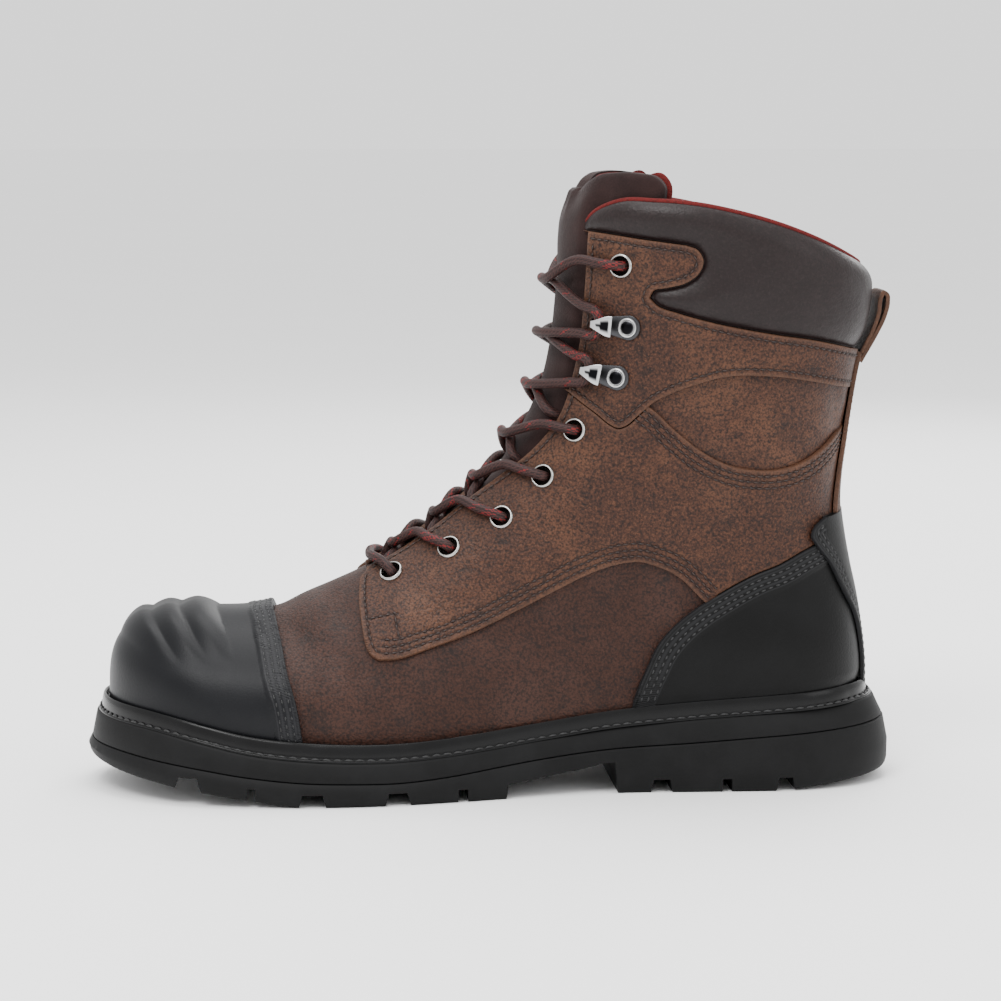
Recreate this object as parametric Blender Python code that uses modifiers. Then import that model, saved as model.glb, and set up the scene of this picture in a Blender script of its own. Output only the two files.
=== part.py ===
"""An eight-inch lace-up safety work boot for the left foot, as a maker's set of pieces.

The toe points to -X and the wearer's outer (lateral) side to -Y.  Z is up, and the origin
is on the ground under the middle of the sole.  Every size below is in millimetres.
"""
import math

import bpy
import bmesh
import numpy as np
from mathutils import Matrix, Vector

MM = 0.001

# Driving sizes
SOLE_LENGTH = 315.0
TOE_TIP = -SOLE_LENGTH / 2
HEEL_TIP = SOLE_LENGTH / 2
GAP = 0.3
WALL = 2.2
COLUMNS = 32
FAR = 130.0

# The sole's side, heel to toe: x, top edge, joint line, underside
SOLE_SIDE = (
    (-157.5, 29.0, 18.5, 12.6),
    (-147.0, 28.2, 17.8, 10.2),
    (-132.0, 27.0, 16.2, 7.8),
    (-113.0, 23.4, 14.0, 5.1),
    (-95.0, 19.5, 11.4, 2.6),
    (-76.0, 17.2, 9.5, 0.2),
    (-57.0, 16.1, 8.8, 0.0),
    (-38.0, 16.0, 8.6, 0.0),
    (-19.0, 17.2, 10.0, 0.0),
    (0.0, 19.2, 12.5, 0.0),
    (20.0, 21.8, 15.0, 0.0),
    (40.0, 24.6, 17.0, 0.0),
    (70.0, 27.3, 18.8, 0.0),
    (108.0, 29.8, 21.4, 0.0),
    (129.0, 31.4, 22.8, 2.0),
    (157.5, 33.0, 24.5, 4.5),
)
SHANK = ((2.2, -4.0), (3.4, 5.8), (13.0, 7.1), (25.0, 9.2), (33.0, 10.4), (41.0, 12.0), (45.0, 12.2), (46.8, -4.0))
# Tread grooves across the sole: from x, to x, depth, slant of the walls
GROOVES = (
    (-123.0, -113.0, 5.0, 1.5),
    (-96.0, -92.5, 5.0, 0.3),
    (-76.5, -66.0, 5.0, 1.5),
    (-44.0, -34.0, 5.0, 1.5),
    (-16.0, -12.0, 5.0, 0.3),
    (59.0, 67.5, 5.2, 1.2),
    (86.5, 90.5, 5.2, 0.3),
    (107.5, 115.0, 5.2, 1.2),
)
LONG_GROOVES = ((-14.0, 3.0), (14.0, 3.0))
SOLE_MARGIN = ((-157.0, 10.5), (-100.0, 11.5), (-60.0, 11.7), (-20.0, 10.0), (20.0, 7.0), (50.0, 6.0), (80.0, 7.5), (158.0, 8.0))

# The last, seen from above: x, lateral y, medial y, middle line
PLAN = (
    (-147.0, -33.0, 40.0, 5.0),
    (-125.0, -38.5, 43.0, 4.5),
    (-100.0, -42.8, 45.2, 3.0),
    (-75.0, -45.3, 45.5, 1.0),
    (-45.0, -45.2, 43.5, -1.0),
    (-15.0, -41.5, 37.5, -1.0),
    (15.0, -37.0, 32.5, 0.0),
    (45.0, -34.0, 30.5, 0.0),
    (80.0, -33.0, 32.0, 0.0),
    (112.0, -33.0, 33.0, 0.0),
    (160.0, -33.0, 33.0, 0.0),
)
# The shaft's half width at each height
SHAFT = ((30.0, 33.5), (60.0, 33.5), (90.0, 34.5), (120.0, 37.0), (160.0, 40.0), (200.0, 42.0), (240.0, 43.0))
# The front line behind the toe: x, z, depth of its rounding
FRONT = (
    (-100.0, 65.8, 38.0),
    (-90.0, 66.6, 41.0),
    (-84.0, 68.0, 43.0),
    (-74.0, 72.5, 47.0),
    (-63.0, 77.3, 50.0),
    (-48.0, 84.2, 54.0),
    (-36.0, 91.2, 56.0),
    (-25.0, 99.0, 57.0),
    (-10.0, 112.0, 58.0),
    (0.0, 121.5, 58.0),
    (8.0, 131.0, 57.0),
    (14.5, 142.0, 56.0),
    (20.0, 155.0, 55.0),
    (23.5, 170.0, 55.0),
    (26.0, 192.0, 55.0),
    (28.0, 215.0, 55.0),
    (29.5, 232.0, 55.0),
    (30.5, 248.0, 55.0),
)
# The back line: z, x, depth of its rounding
BACK = (
    (20.0, 143.5, 33.0),
    (48.0, 143.5, 33.0),
    (60.0, 142.0, 33.0),
    (72.0, 140.0, 34.0),
    (84.0, 137.3, 35.0),
    (96.0, 135.0, 36.0),
    (108.0, 133.4, 37.0),
    (120.0, 133.8, 39.0),
    (132.0, 135.3, 41.0),
    (147.0, 137.3, 43.0),
    (163.0, 140.0, 44.0),
    (173.0, 142.3, 45.0),
    (183.0, 144.0, 46.0),
    (192.0, 144.3, 46.0),
    (202.0, 143.5, 46.0),
    (240.0, 142.0, 46.0),
)
TOE_CENTRE = -100.0
TOE_REACH = 46.5
TOE_TOP = 65.8
TOE_SQUARE = 4.0
TOE_PLAN_SQUARE = 2.25
SHAFT_SQUARE = 2.0
SEAT = 2.9
BULGE = 0.06
# Girths round the last: length along the front line, height half way back, height at the back
GIRTHS = (
    (0.0, 28.0, 35.0),
    (28.0, 32.0, 41.0),
    (55.0, 37.0, 48.0),
    (74.0, 43.0, 55.0),
    (88.0, 50.0, 62.0),
    (155.0, 86.0, 94.0),
    (214.0, 134.0, 134.0),
    (300.0, 214.0, 203.0),
    (320.0, 232.0, 219.0),
)
TOE_ROWS = 8
SHAFT_ROWS = 10
TOE_ROWS_END = 74.0

# Throat: height on the front line, half width of the slot
THROAT = ((78.0, 6.5), (84.0, 8.5), (95.0, 9.5), (112.0, 11.0), (122.0, 14.0), (132.0, 18.0), (142.0, 21.0), (160.0, 22.5), (250.0, 23.0))
THROAT_START_X = -47.0

# Lines on the side of the upper, as x, z
TOE_CAP_REAR = ((-86.5, 90.0), (-86.0, 74.0), (-84.0, 66.0), (-82.0, 58.0), (-80.0, 48.0), (-77.0, 38.0), (-74.0, 20.0))
QUARTER_FRONT = ((-52.0, 100.0), (-52.0, 75.0), (-51.0, 64.0), (-50.0, 57.0), (-46.5, 53.0))
QUARTER_LOW = (
    (-40.0, 53.0),
    (-26.0, 57.0),
    (-10.0, 63.0),
    (7.0, 71.0),
    (24.0, 79.0),
    (41.0, 87.0),
    (49.0, 89.0),
    (57.0, 88.5),
    (65.0, 86.0),
    (74.0, 79.5),
    (80.0, 75.0),
)
COUNTER_FRONT = ((52.0, 20.0), (52.0, 34.0), (54.0, 40.0), (57.0, 48.0), (62.0, 57.0), (70.0, 66.0), (80.0, 74.0))
COUNTER_TOP = ((92.0, 80.0), (108.0, 87.0), (118.0, 91.5), (124.0, 98.0), (126.0, 105.0), (160.0, 106.0))
CUFF_LOW = (
    (0.0, 160.0),
    (30.0, 153.0),
    (33.0, 150.0),
    (39.0, 145.5),
    (43.0, 142.0),
    (46.5, 141.0),
    (53.0, 146.0),
    (59.0, 151.0),
    (68.0, 155.0),
    (77.0, 158.0),
    (94.0, 160.5),
    (122.0, 157.5),
    (141.0, 153.0),
    (165.0, 150.0),
)
CUFF_TOP = (
    (0.0, 216.0),
    (33.0, 215.0),
    (54.0, 212.5),
    (72.0, 210.0),
    (77.0, 205.0),
    (75.0, 199.0),
    (71.0, 196.0),
    (59.0, 193.0),
    (57.0, 190.5),
    (59.0, 188.0),
    (81.0, 181.0),
    (103.0, 177.0),
    (121.0, 173.5),
    (144.0, 168.0),
    (165.0, 165.0),
)
COLLAR_TOP = (
    (0.0, 218.5),
    (33.0, 218.5),
    (38.5, 223.5),
    (46.0, 226.5),
    (60.0, 226.5),
    (75.0, 225.0),
    (90.0, 222.0),
    (106.0, 217.5),
    (122.0, 211.5),
    (136.0, 205.0),
    (148.0, 201.0),
    (165.0, 197.0),
)
TONGUE_REAR = ((-44.0, 74.0), (-30.0, 84.0), (-8.0, 100.0), (14.0, 122.0), (34.0, 146.0), (46.0, 172.0), (54.0, 200.0), (62.0, 220.0), (66.5, 230.0))
TONGUE_TOP = ((64.0, 235.0), (56.0, 236.8), (43.0, 237.1), (34.0, 236.0), (20.0, 233.0))
# Lines on the back, as y, z
BACK_STAY_SIDE = ((12.5, 20.0), (12.5, 52.0), (16.0, 64.0), (21.0, 73.0), (25.0, 86.0), (28.5, 94.0), (28.5, 100.0), (24.0, 105.3))
BACK_STRIP_SIDE = ((18.0, 106.0), (14.5, 120.0), (12.5, 140.0), (11.0, 155.0), (11.0, 166.0))

# Layer heights over the upper: inner, outer
VAMP_OVERLAY = (0.3, 1.9)
CUFF_OVERLAY = (0.3, 2.4)
COLLAR_PAD = (0.3, 3.8)
COUNTER_LAYER = (0.3, 2.5)
BACK_LAYER = (2.8, 4.6)
TOE_CAP_LAYER = (0.5, 2.7)
TONGUE_LAYER = (-7.4, -2.6)

# Toe cap ridges: x of each crest on the front line, their height, their half width and their trail
RIDGES = (-134.5, -125.5, -115.0)
RIDGE_HEIGHT = 2.6
RIDGE_HALF = 4.6
RIDGE_TRAIL = 0.75
RIDGE_LOW = 50.0
RIDGE_FADE = 12.0

# Lace rows on each flap: x, z, kind
LACE_ROWS = (
    (-39.0, 83.0, "eyelet"),
    (-17.0, 93.0, "eyelet"),
    (3.0, 105.0, "eyelet"),
    (19.0, 121.0, "eyelet"),
    (31.0, 139.0, "eyelet"),
    (45.0, 160.0, "hook"),
    (49.0, 179.0, "hook"),
    (48.0, 202.0, "eyelet"),
)
EYELET_OUTER = 4.75
EYELET_HOLE = 3.2
EYELET_RISE = 1.1
LACE_RADIUS = 1.8
LACE_STEPS = 6

WELT_TOP = 6.7
OUTSOLE_STEP = 0.6
MIDSOLE_INSET_TOE = 3.5
MIDSOLE_INSET_HEEL = 6.0


def curve(points, column=1):
    """A smooth curve through table rows: the given column as a function of the first."""
    at = np.array([row[0] for row in points], float)
    value = np.array([row[column] for row in points], float)
    step = np.diff(at)
    slope = np.diff(value) / step
    tangent = np.concatenate(([slope[0]], (slope[:-1] * step[1:] + slope[1:] * step[:-1]) / (step[:-1] + step[1:]), [slope[-1]]))

    def read(x):
        x = np.asarray(x, float)
        row = np.clip(np.searchsorted(at, x) - 1, 0, len(at) - 2)
        t = (x - at[row]) / step[row]
        a = np.clip(t, 0.0, 1.0)
        out = (2 * a**3 - 3 * a**2 + 1) * value[row] + (a**3 - 2 * a**2 + a) * step[row] * tangent[row]
        out = out + (3 * a**2 - 2 * a**3) * value[row + 1] + (a**3 - a**2) * step[row] * tangent[row + 1]
        before = np.where(t < 0, t * step[0] * tangent[0], 0.0)
        after = np.where(t > 1, (t - 1) * step[-1] * tangent[-1], 0.0)
        return out + before + after

    return read


def ease(t):
    """A smooth step from 0 to 1."""
    t = np.clip(t, 0.0, 1.0)
    return t * t * (3 - 2 * t)


def rounded(rho, square):
    """The height of a rounded end: 1 at its root (rho 0) and 0 at its tip (rho 1)."""
    return np.clip(1 - np.clip(rho, 0, 1) ** square, 0, 1) ** (1 / square)


sole_top = curve(SOLE_SIDE, 1)
sole_joint = curve(SOLE_SIDE, 2)
sole_under = curve(SOLE_SIDE, 3)
sole_margin = curve(SOLE_MARGIN)
lateral = curve(PLAN, 1)
medial = curve(PLAN, 2)
middle = curve(PLAN, 3)
shaft_half = curve(SHAFT)
back_x = curve(BACK, 1)
back_depth = curve(BACK, 2)
throat_half = curve(THROAT)


def feather(x):
    """Height of the upper's lower edge."""
    return sole_top(x) + SEAT


def front_line():
    """The upper's front line in the side view, toe to tongue: length, x, z, rounding depth."""
    foot = float(feather(TOE_CENTRE - TOE_REACH))
    turn = np.linspace(0.0, math.pi / 2, 60)
    x = TOE_CENTRE - TOE_REACH * np.cos(turn) ** (2 / TOE_SQUARE)
    z = foot + (TOE_TOP - foot) * np.sin(turn) ** (2 / TOE_SQUARE)
    rows = np.array(FRONT)
    run = np.concatenate(([0.0], np.cumsum(np.hypot(np.diff(rows[:, 0]), np.diff(rows[:, 1])))))
    fine = np.linspace(0.0, run[-1], 400)
    columns = [curve(list(zip(run, rows[:, k])))(fine) for k in range(3)]
    x = np.concatenate((x[:-1], columns[0]))
    z = np.concatenate((z[:-1], columns[1]))
    depth = np.concatenate((np.full(59, rows[0, 2]), columns[2]))
    length = np.concatenate(([0.0], np.cumsum(np.hypot(np.diff(x), np.diff(z)))))
    return length, x, z, depth


FRONT_LENGTH, FRONT_X, FRONT_Z, FRONT_DEPTH = front_line()


def front_rho(x, z):
    """0 deep inside the last and 1 on its front line."""
    shape = np.shape(x)
    x = np.ravel(np.asarray(x, float))
    z = np.ravel(np.asarray(z, float))
    far = np.hypot(x[:, None] - FRONT_X[None, :], z[:, None] - FRONT_Z[None, :])
    near = far.argmin(axis=1)
    shaft = 1 - far[np.arange(len(x)), near] / FRONT_DEPTH[near]
    ahead = np.clip((TOE_CENTRE - x) / TOE_REACH, 0, None)
    foot = feather(x)
    above = np.clip((z - foot) / (TOE_TOP - foot), 0, None)
    toe = (ahead**TOE_SQUARE + above**TOE_SQUARE) ** (1 / TOE_SQUARE)
    mix = ease((x + 108) / 16)
    return np.clip(toe * (1 - mix) + np.clip(shaft, 0, 1) * mix, 0, 1).reshape(shape)


def last_y(x, z, side):
    """The last's surface at side-view point x, z: side -1 is lateral and 1 medial."""
    x = np.asarray(x, float)
    z = np.asarray(z, float)
    height = z - feather(x)
    up = ease((height - 5) / 85)
    bulge = 1 + BULGE * np.sin(math.pi * np.clip(height / 50, 0, 1)) ** 2 * (1 - up)
    full = np.where(np.asarray(side) < 0, lateral(x), medial(x))
    wall = full * (1 - up) * bulge + side * shaft_half(z) * up
    centre = middle(x) * (1 - up)
    square = TOE_PLAN_SQUARE + (SHAFT_SQUARE - TOE_PLAN_SQUARE) * ease((z - 80) / 50)
    back = 1 - (back_x(z) - x) / back_depth(z)
    return centre + (wall - centre) * rounded(front_rho(x, z), square) * rounded(back, 2.25)


girth_middle = curve(GIRTHS, 1)
girth_back = curve(GIRTHS, 2)


def last_point(turn, length):
    """A point on the last: turn goes round from the front, length is measured up the front line."""
    turn = np.asarray(turn, float)
    length = np.asarray(length, float)
    q = (1 - np.cos(turn)) / 2
    fx = np.interp(length, FRONT_LENGTH, FRONT_X)
    fz = np.interp(length, FRONT_LENGTH, FRONT_Z)
    kz = girth_back(length)
    x = fx + (back_x(kz) - fx) * q
    z = fz * (1 - q) * (1 - 2 * q) + girth_middle(length) * 4 * q * (1 - q) + kz * q * (2 * q - 1)
    low_z = FRONT_Z[0] * (1 - q) * (1 - 2 * q) + girth_middle(0.0) * 4 * q * (1 - q) + girth_back(0.0) * q * (2 * q - 1)
    z = z + (feather(x) - low_z) * (1 - ease(length / 60))
    side = np.where(np.sin(turn) >= 0, -1.0, 1.0)
    return np.stack((x, last_y(x, z, side), z), axis=-1)


def last_normal(turn, length):
    """Outward direction of the last's surface."""
    turn_step = 0.02
    length_step = 0.8
    low = np.maximum(length - length_step, 0.0)
    round_way = last_point(turn + turn_step, length) - last_point(turn - turn_step, length)
    up_way = last_point(turn, length + length_step) - last_point(turn, low)
    out = np.cross(round_way, up_way)
    return out / np.linalg.norm(out, axis=-1, keepdims=True)


def surface(x, z, side, offset):
    """A point over the last at side-view x, z, and the outward direction there."""
    step = 0.5
    dx = np.array([step * 2, last_y(x + step, z, side) - last_y(x - step, z, side), 0.0])
    dz = np.array([0.0, last_y(x, z + step, side) - last_y(x, z - step, side), step * 2])
    out = np.cross(dx, dz)
    out = out / np.linalg.norm(out)
    if out[1] * side < 0:
        out = -out
    return np.array([x, float(last_y(x, z, side)), z]) + out * offset, out


# Blender helpers
def start_scene():
    """An empty scene with one collection for the boot and one for its cutters."""
    for thing in list(bpy.data.objects):
        bpy.data.objects.remove(thing)
    made = []
    for name in ("work_boot", "cutters"):
        collection = bpy.data.collections.new(name)
        bpy.context.scene.collection.children.link(collection)
        made.append(collection)
    return made


BOOT, CUTTERS = start_scene()


def finish(name, colour, roughness, metallic=0.0):
    """A material named for its piece."""
    material = bpy.data.materials.new(name)
    material.use_nodes = True
    shader = material.node_tree.nodes["Principled BSDF"]
    shader.inputs["Base Color"].default_value = (*colour, 1.0)
    shader.inputs["Roughness"].default_value = roughness
    shader.inputs["Metallic"].default_value = metallic
    return material


BROWN = (0.20, 0.075, 0.03)
DARK_BROWN = (0.09, 0.035, 0.018)
BLACK = (0.012, 0.012, 0.012)
LACE_BROWN = (0.10, 0.02, 0.015)
STEEL = (0.55, 0.54, 0.52)
GUNMETAL = (0.12, 0.115, 0.11)


def add_object(name, vertices, faces, look=None, collection=BOOT):
    """A mesh object from points in millimetres."""
    mesh = bpy.data.meshes.new(name)
    mesh.from_pydata([tuple(float(c) * MM for c in v) for v in vertices], [], faces)
    work = bmesh.new()
    work.from_mesh(mesh)
    bmesh.ops.triangulate(work, faces=work.faces)
    work.to_mesh(mesh)
    work.free()
    thing = bpy.data.objects.new(name, mesh)
    collection.objects.link(thing)
    if look:
        mesh.materials.append(finish(name, *look))
        mesh.shade_smooth()
        mesh.set_sharp_from_angle(angle=math.radians(35))
    if collection is CUTTERS:
        thing.hide_render = True
        thing.display_type = "WIRE"
    return thing


def cut(thing, cutter, way="DIFFERENCE"):
    """A live Boolean of a piece with a cutter."""
    modifier = thing.modifiers.new(cutter.name, "BOOLEAN")
    modifier.object = cutter
    modifier.operation = way
    modifier.solver = "EXACT"


def prism(name, outline, low, high, axis="Y"):
    """A cutter: an outline of x, z extruded along Y, or of y, z extruded along X."""
    work = bmesh.new()
    if axis == "Y":
        corners = [work.verts.new((a * MM, low * MM, b * MM)) for a, b in outline]
        way = Vector((0, (high - low) * MM, 0))
    else:
        corners = [work.verts.new((low * MM, a * MM, b * MM)) for a, b in outline]
        way = Vector(((high - low) * MM, 0, 0))
    face = work.faces.new(corners)
    grown = bmesh.ops.extrude_face_region(work, geom=[face])
    bmesh.ops.translate(work, vec=way, verts=[v for v in grown["geom"] if isinstance(v, bmesh.types.BMVert)])
    bmesh.ops.recalc_face_normals(work, faces=work.faces)
    mesh = bpy.data.meshes.new(name)
    work.to_mesh(mesh)
    work.free()
    thing = bpy.data.objects.new(name, mesh)
    CUTTERS.objects.link(thing)
    thing.hide_render = True
    thing.display_type = "WIRE"
    return thing


def moved(line, distance):
    """A side line moved to its left by a distance."""
    line = np.array(line, float)
    way = np.gradient(line, axis=0)
    way = way / np.linalg.norm(way, axis=1, keepdims=True)
    return [tuple(p) for p in line + distance * np.stack((-way[:, 1], way[:, 0]), axis=1)]


def grid_solid(name, outer, inner, look):
    """A closed wall between two grids of rows by columns, each row a closed loop."""
    rows, columns, _ = outer.shape
    vertices = np.concatenate((outer.reshape(-1, 3), inner.reshape(-1, 3)))
    under = rows * columns
    faces = []
    for j in range(columns):
        k = (j + 1) % columns
        for r in range(rows - 1):
            a, b, c, d = r * columns + j, r * columns + k, (r + 1) * columns + k, (r + 1) * columns + j
            faces.append((a, b, c, d))
            faces.append((under + d, under + c, under + b, under + a))
        top = (rows - 1) * columns
        faces.append((j, under + j, under + k, k))
        faces.append((top + j, top + k, under + top + k, under + top + j))
    return add_object(name, vertices, faces, look)


def girth_lengths():
    """Places of the girths up the front line, closer together at the toe."""
    toe = np.linspace(0.0, TOE_ROWS_END, TOE_ROWS)
    shaft = np.linspace(TOE_ROWS_END, GIRTHS[-1][0], SHAFT_ROWS + 1)
    return np.concatenate((toe, shaft[1:]))


def between_rows(grid, parts):
    """The same grid with each step between rows cut into equal parts."""
    rows = len(grid)
    at = np.linspace(0, rows - 1, (rows - 1) * parts + 1)
    low = np.minimum(at.astype(int), rows - 2)
    share = (at - low)[:, None, None]
    return grid[low] * (1 - share) + grid[low + 1] * share


def last_shell(name, inner, outer, look, raised=None, rows=None, parts=1):
    """A wall over the last between two heights, with an optional raised pattern on its outside."""
    turns = np.arange(COLUMNS) * 2 * math.pi / COLUMNS
    turn, length = np.meshgrid(turns, girth_lengths()[:rows])
    points = between_rows(last_point(turn, length), parts)
    out = between_rows(last_normal(turn, length), parts)
    high = outer if raised is None else outer + raised(points)[..., None]
    return grid_solid(name, points + out * high, points + out * inner, look)


def welt_top_line(rise):
    """Side-view points along the top of the welt."""
    return [(x, float(sole_top(x)) + rise) for x in np.linspace(TOE_TIP - 10, HEEL_TIP + 10, 24)]


def ring_points(offset, x_shift=0.0):
    """Points round the upper's foot, moved outwards in plan, as x, y pairs."""
    turns = np.arange(COLUMNS) * 2 * math.pi / COLUMNS
    points = last_point(turns, np.zeros(COLUMNS))[:, :2]
    return points + plan_out(points) * offset


def plan_out(points):
    """Outward directions in plan of a closed loop."""
    way = np.roll(points, -1, axis=0) - np.roll(points, 1, axis=0)
    out = np.stack((way[:, 1], -way[:, 0]), axis=1)
    return out / np.linalg.norm(out, axis=1, keepdims=True)


def sole_points(inset):
    """Points round the sole in plan, moved inwards by an inset for each point."""
    turns = np.arange(COLUMNS) * 2 * math.pi / COLUMNS
    x = TOE_TIP + SOLE_LENGTH * (1 - np.cos(turns)) / 2
    side = np.where(np.sin(turns) >= 0, -1.0, 1.0)
    full = np.where(side < 0, lateral(x) - sole_margin(x), medial(x) + sole_margin(x))
    toe = np.clip((-98 - x) / (-98 - TOE_TIP), 0, 1)
    heel = np.clip((x - 107) / (HEEL_TIP - 107), 0, 1)
    centre = middle(x) * toe
    y = centre + (full - centre) * rounded(toe, 2.25) * rounded(heel, 2.25)
    points = np.stack((x, y), axis=1)
    return points - plan_out(points) * np.asarray(inset(x) if callable(inset) else inset).reshape(-1, 1)


def stacked(name, loops, look):
    """A solid from plan loops stacked upwards: each is points and a height function."""
    count = COLUMNS
    vertices = []
    for points, height in loops:
        vertices += [(x, y, float(height(x))) for x, y in points]
    faces = []
    for level in range(len(loops) - 1):
        for j in range(count):
            k = (j + 1) % count
            faces.append((level * count + j, level * count + k, (level + 1) * count + k, (level + 1) * count + j))
    top = (len(loops) - 1) * count
    for j in range(count // 2):
        a, b = j, j + 1
        c, d = (count - j - 1) % count, (count - j) % count
        low = [a, d, c, b] if a != d else [a, c, b]
        if b == c:
            low = [a, d, b]
        faces.append(tuple(low))
        faces.append(tuple(top + v for v in reversed(low)))
    return add_object(name, vertices, faces, look)


# Sole pieces
def top_inset(x):
    return MIDSOLE_INSET_TOE + (MIDSOLE_INSET_HEEL - MIDSOLE_INSET_TOE) * ease((x - 60) / 90)


def make_outsole():
    loops = [
        (sole_points(1.6), lambda x: max(0.0, float(sole_under(x)))),
        (sole_points(0.2), lambda x: max(0.0, float(sole_under(x))) + 2.6),
        (sole_points(0.0), lambda x: (max(0.0, float(sole_under(x))) + float(sole_joint(x))) / 2),
        (sole_points(lambda x: 0.35 * top_inset(x)), lambda x: float(sole_joint(x)) - GAP),
    ]
    thing = stacked("outsole", loops, (BLACK, 0.55))
    cut(thing, prism("shank_cut", SHANK, -FAR, FAR))
    for number, (start, end, depth, slant) in enumerate(GROOVES):
        base = max(0.0, float(sole_under((start + end) / 2)))
        outline = ((start - slant, base - 6), (end + slant, base - 6), (end - slant, base + depth), (start + slant, base + depth))
        cut(thing, prism(f"groove_{number}", outline, -FAR, FAR))
    return thing


def make_midsole():
    loops = [
        (sole_points(lambda x: 0.35 * top_inset(x) + OUTSOLE_STEP), sole_joint),
        (sole_points(lambda x: 0.7 * top_inset(x)), lambda x: (float(sole_joint(x)) + 2 * float(sole_top(x))) / 3),
        (sole_points(top_inset), sole_top),
    ]
    return stacked("midsole", loops, (BLACK, 0.6))


def make_welt():
    """The welt: a flange under the upper, a stitched strip beside it and a rolled bead outside."""
    foot = ring_points(0.0)
    out = plan_out(foot)
    outer = sole_points(lambda x: top_inset(x) - 0.8)
    near = foot + out * 0.6
    # How far from the upper to the edge, and the height over the sole
    profile = (
        (None, GAP),
        (0.88, GAP),
        (1.0, 2.0),
        (1.0, 4.6),
        (0.84, 6.6),
        (0.62, 6.3),
        (0.52, 5.2),
        (0.30, 5.2),
        (0.16, WELT_TOP),
        (0.0, WELT_TOP),
        (0.0, SEAT - GAP),
        (None, SEAT - GAP),
    )
    rings = []
    for share, height in profile:
        plan = foot - out * 6.0 if share is None else near + (outer - near) * share
        rings.append(np.column_stack((plan, sole_top(plan[:, 0]) + height)))
    rings = np.array(rings)
    vertices = rings.reshape(-1, 3)
    faces = []
    for r in range(len(profile)):
        n = (r + 1) % len(profile)
        for j in range(COLUMNS):
            k = (j + 1) % COLUMNS
            faces.append((r * COLUMNS + j, r * COLUMNS + k, n * COLUMNS + k, n * COLUMNS + j))
    return add_object("welt", vertices, faces, (BLACK, 0.35))


def make_insole():
    edge = ring_points(-WALL - 0.8)
    loops = [
        (edge, lambda x: float(sole_top(x)) + SEAT + 0.2),
        (edge, lambda x: float(sole_top(x)) + SEAT + 3.6),
    ]
    return stacked("insole", loops, (DARK_BROWN, 0.9))


# Cutters shared by the upper and its overlays
def throat_cutter():
    """The throat slot along the front line, with walls square to the leather."""
    start = np.interp(THROAT_START_X, FRONT_X, FRONT_LENGTH)
    lengths = np.linspace(start, FRONT_LENGTH[-1], 22)
    vertices = []
    for length in lengths:
        at = np.array([np.interp(length, FRONT_LENGTH, FRONT_X), np.interp(length, FRONT_LENGTH, FRONT_Z)])
        ahead = np.array([np.interp(length + 1, FRONT_LENGTH, FRONT_X), np.interp(length + 1, FRONT_LENGTH, FRONT_Z)])
        behind = np.array([np.interp(length - 1, FRONT_LENGTH, FRONT_X), np.interp(length - 1, FRONT_LENGTH, FRONT_Z)])
        way = (ahead - behind) / np.linalg.norm(ahead - behind)
        out = np.array([-way[1], way[0]])
        half = float(throat_half(at[1]))
        for side, reach in ((-1, 12), (1, 12), (1, -16), (-1, -16)):
            point = at + out * reach
            vertices.append((point[0], side * half, point[1]))
    faces = [(3, 2, 1, 0), tuple(len(vertices) - 4 + i for i in range(4))]
    for row in range(len(lengths) - 1):
        for i in range(4):
            j = (i + 1) % 4
            faces.append((row * 4 + i, row * 4 + j, row * 4 + 4 + j, row * 4 + 4 + i))
    cutter = add_object("throat_cut", vertices, faces, collection=CUTTERS)
    outwards(cutter)
    return cutter


def outwards(thing):
    """Turn a closed mesh's faces outwards."""
    work = bmesh.new()
    work.from_mesh(thing.data)
    bmesh.ops.recalc_face_normals(work, faces=work.faces)
    work.to_mesh(thing.data)
    work.free()


def hole_cutter(name, rows):
    """One cutter with a rod through the eyelet holes of some lace rows."""
    work = bmesh.new()
    for x, z, kind in rows:
        if kind != "eyelet":
            continue
        for side in (-1, 1):
            at, out = surface(x, z, side, 0.0)
            place = Matrix.Translation(Vector(at) * MM) @ Vector(out).to_track_quat("Z", "Y").to_matrix().to_4x4()
            bmesh.ops.create_cone(
                work, cap_ends=True, segments=10, radius1=EYELET_HOLE * MM, radius2=EYELET_HOLE * MM, depth=12 * MM, matrix=place
            )
    mesh = bpy.data.meshes.new(name)
    work.to_mesh(mesh)
    work.free()
    thing = bpy.data.objects.new(name, mesh)
    CUTTERS.objects.link(thing)
    thing.hide_render = True
    thing.display_type = "WIRE"
    return thing


def region(name, outline, side=0):
    """A side-view region on both sides of the boot, or on one side only."""
    low, high = {0: (-FAR, FAR), -1: (-FAR, -0.15), 1: (0.15, FAR)}[side]
    return prism(name, outline, low, high)


def make_upper(throat, holes):
    thing = last_shell("upper", -WALL, 0.0, (DARK_BROWN, 0.5))
    above = moved(COLLAR_TOP, -2.6)
    cut(thing, region("above_upper", [(-40, 214)] + above + [(200, 195), (200, 300), (-40, 300)]))
    cut(thing, throat)
    cut(thing, holes)
    return thing


def ridge_rise(points):
    """Three ridges across the toe cap that trail down and back on its sides."""
    x = points[..., 0]
    z = points[..., 2]
    crest = np.interp(x, FRONT_X, FRONT_Z)
    along = x - RIDGE_TRAIL * np.clip(crest - z, 0, None)
    fade = ease((z - RIDGE_LOW) / RIDGE_FADE)
    rise = np.zeros_like(x)
    for place in RIDGES:
        rise = np.maximum(rise, np.clip(1 - ((along - place) / RIDGE_HALF) ** 2, 0, None))
    return RIDGE_HEIGHT * rise * fade


def make_toe_cap(under_welt):
    thing = last_shell("toe_cap", *TOE_CAP_LAYER, (BLACK, 0.35), ridge_rise, TOE_ROWS + 2, 3)
    cut(thing, region("toe_cap_area", [(-200, 90)] + [(-200, 0)] + list(reversed(TOE_CAP_REAR))), "INTERSECT")
    cut(thing, under_welt)
    return thing


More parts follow.
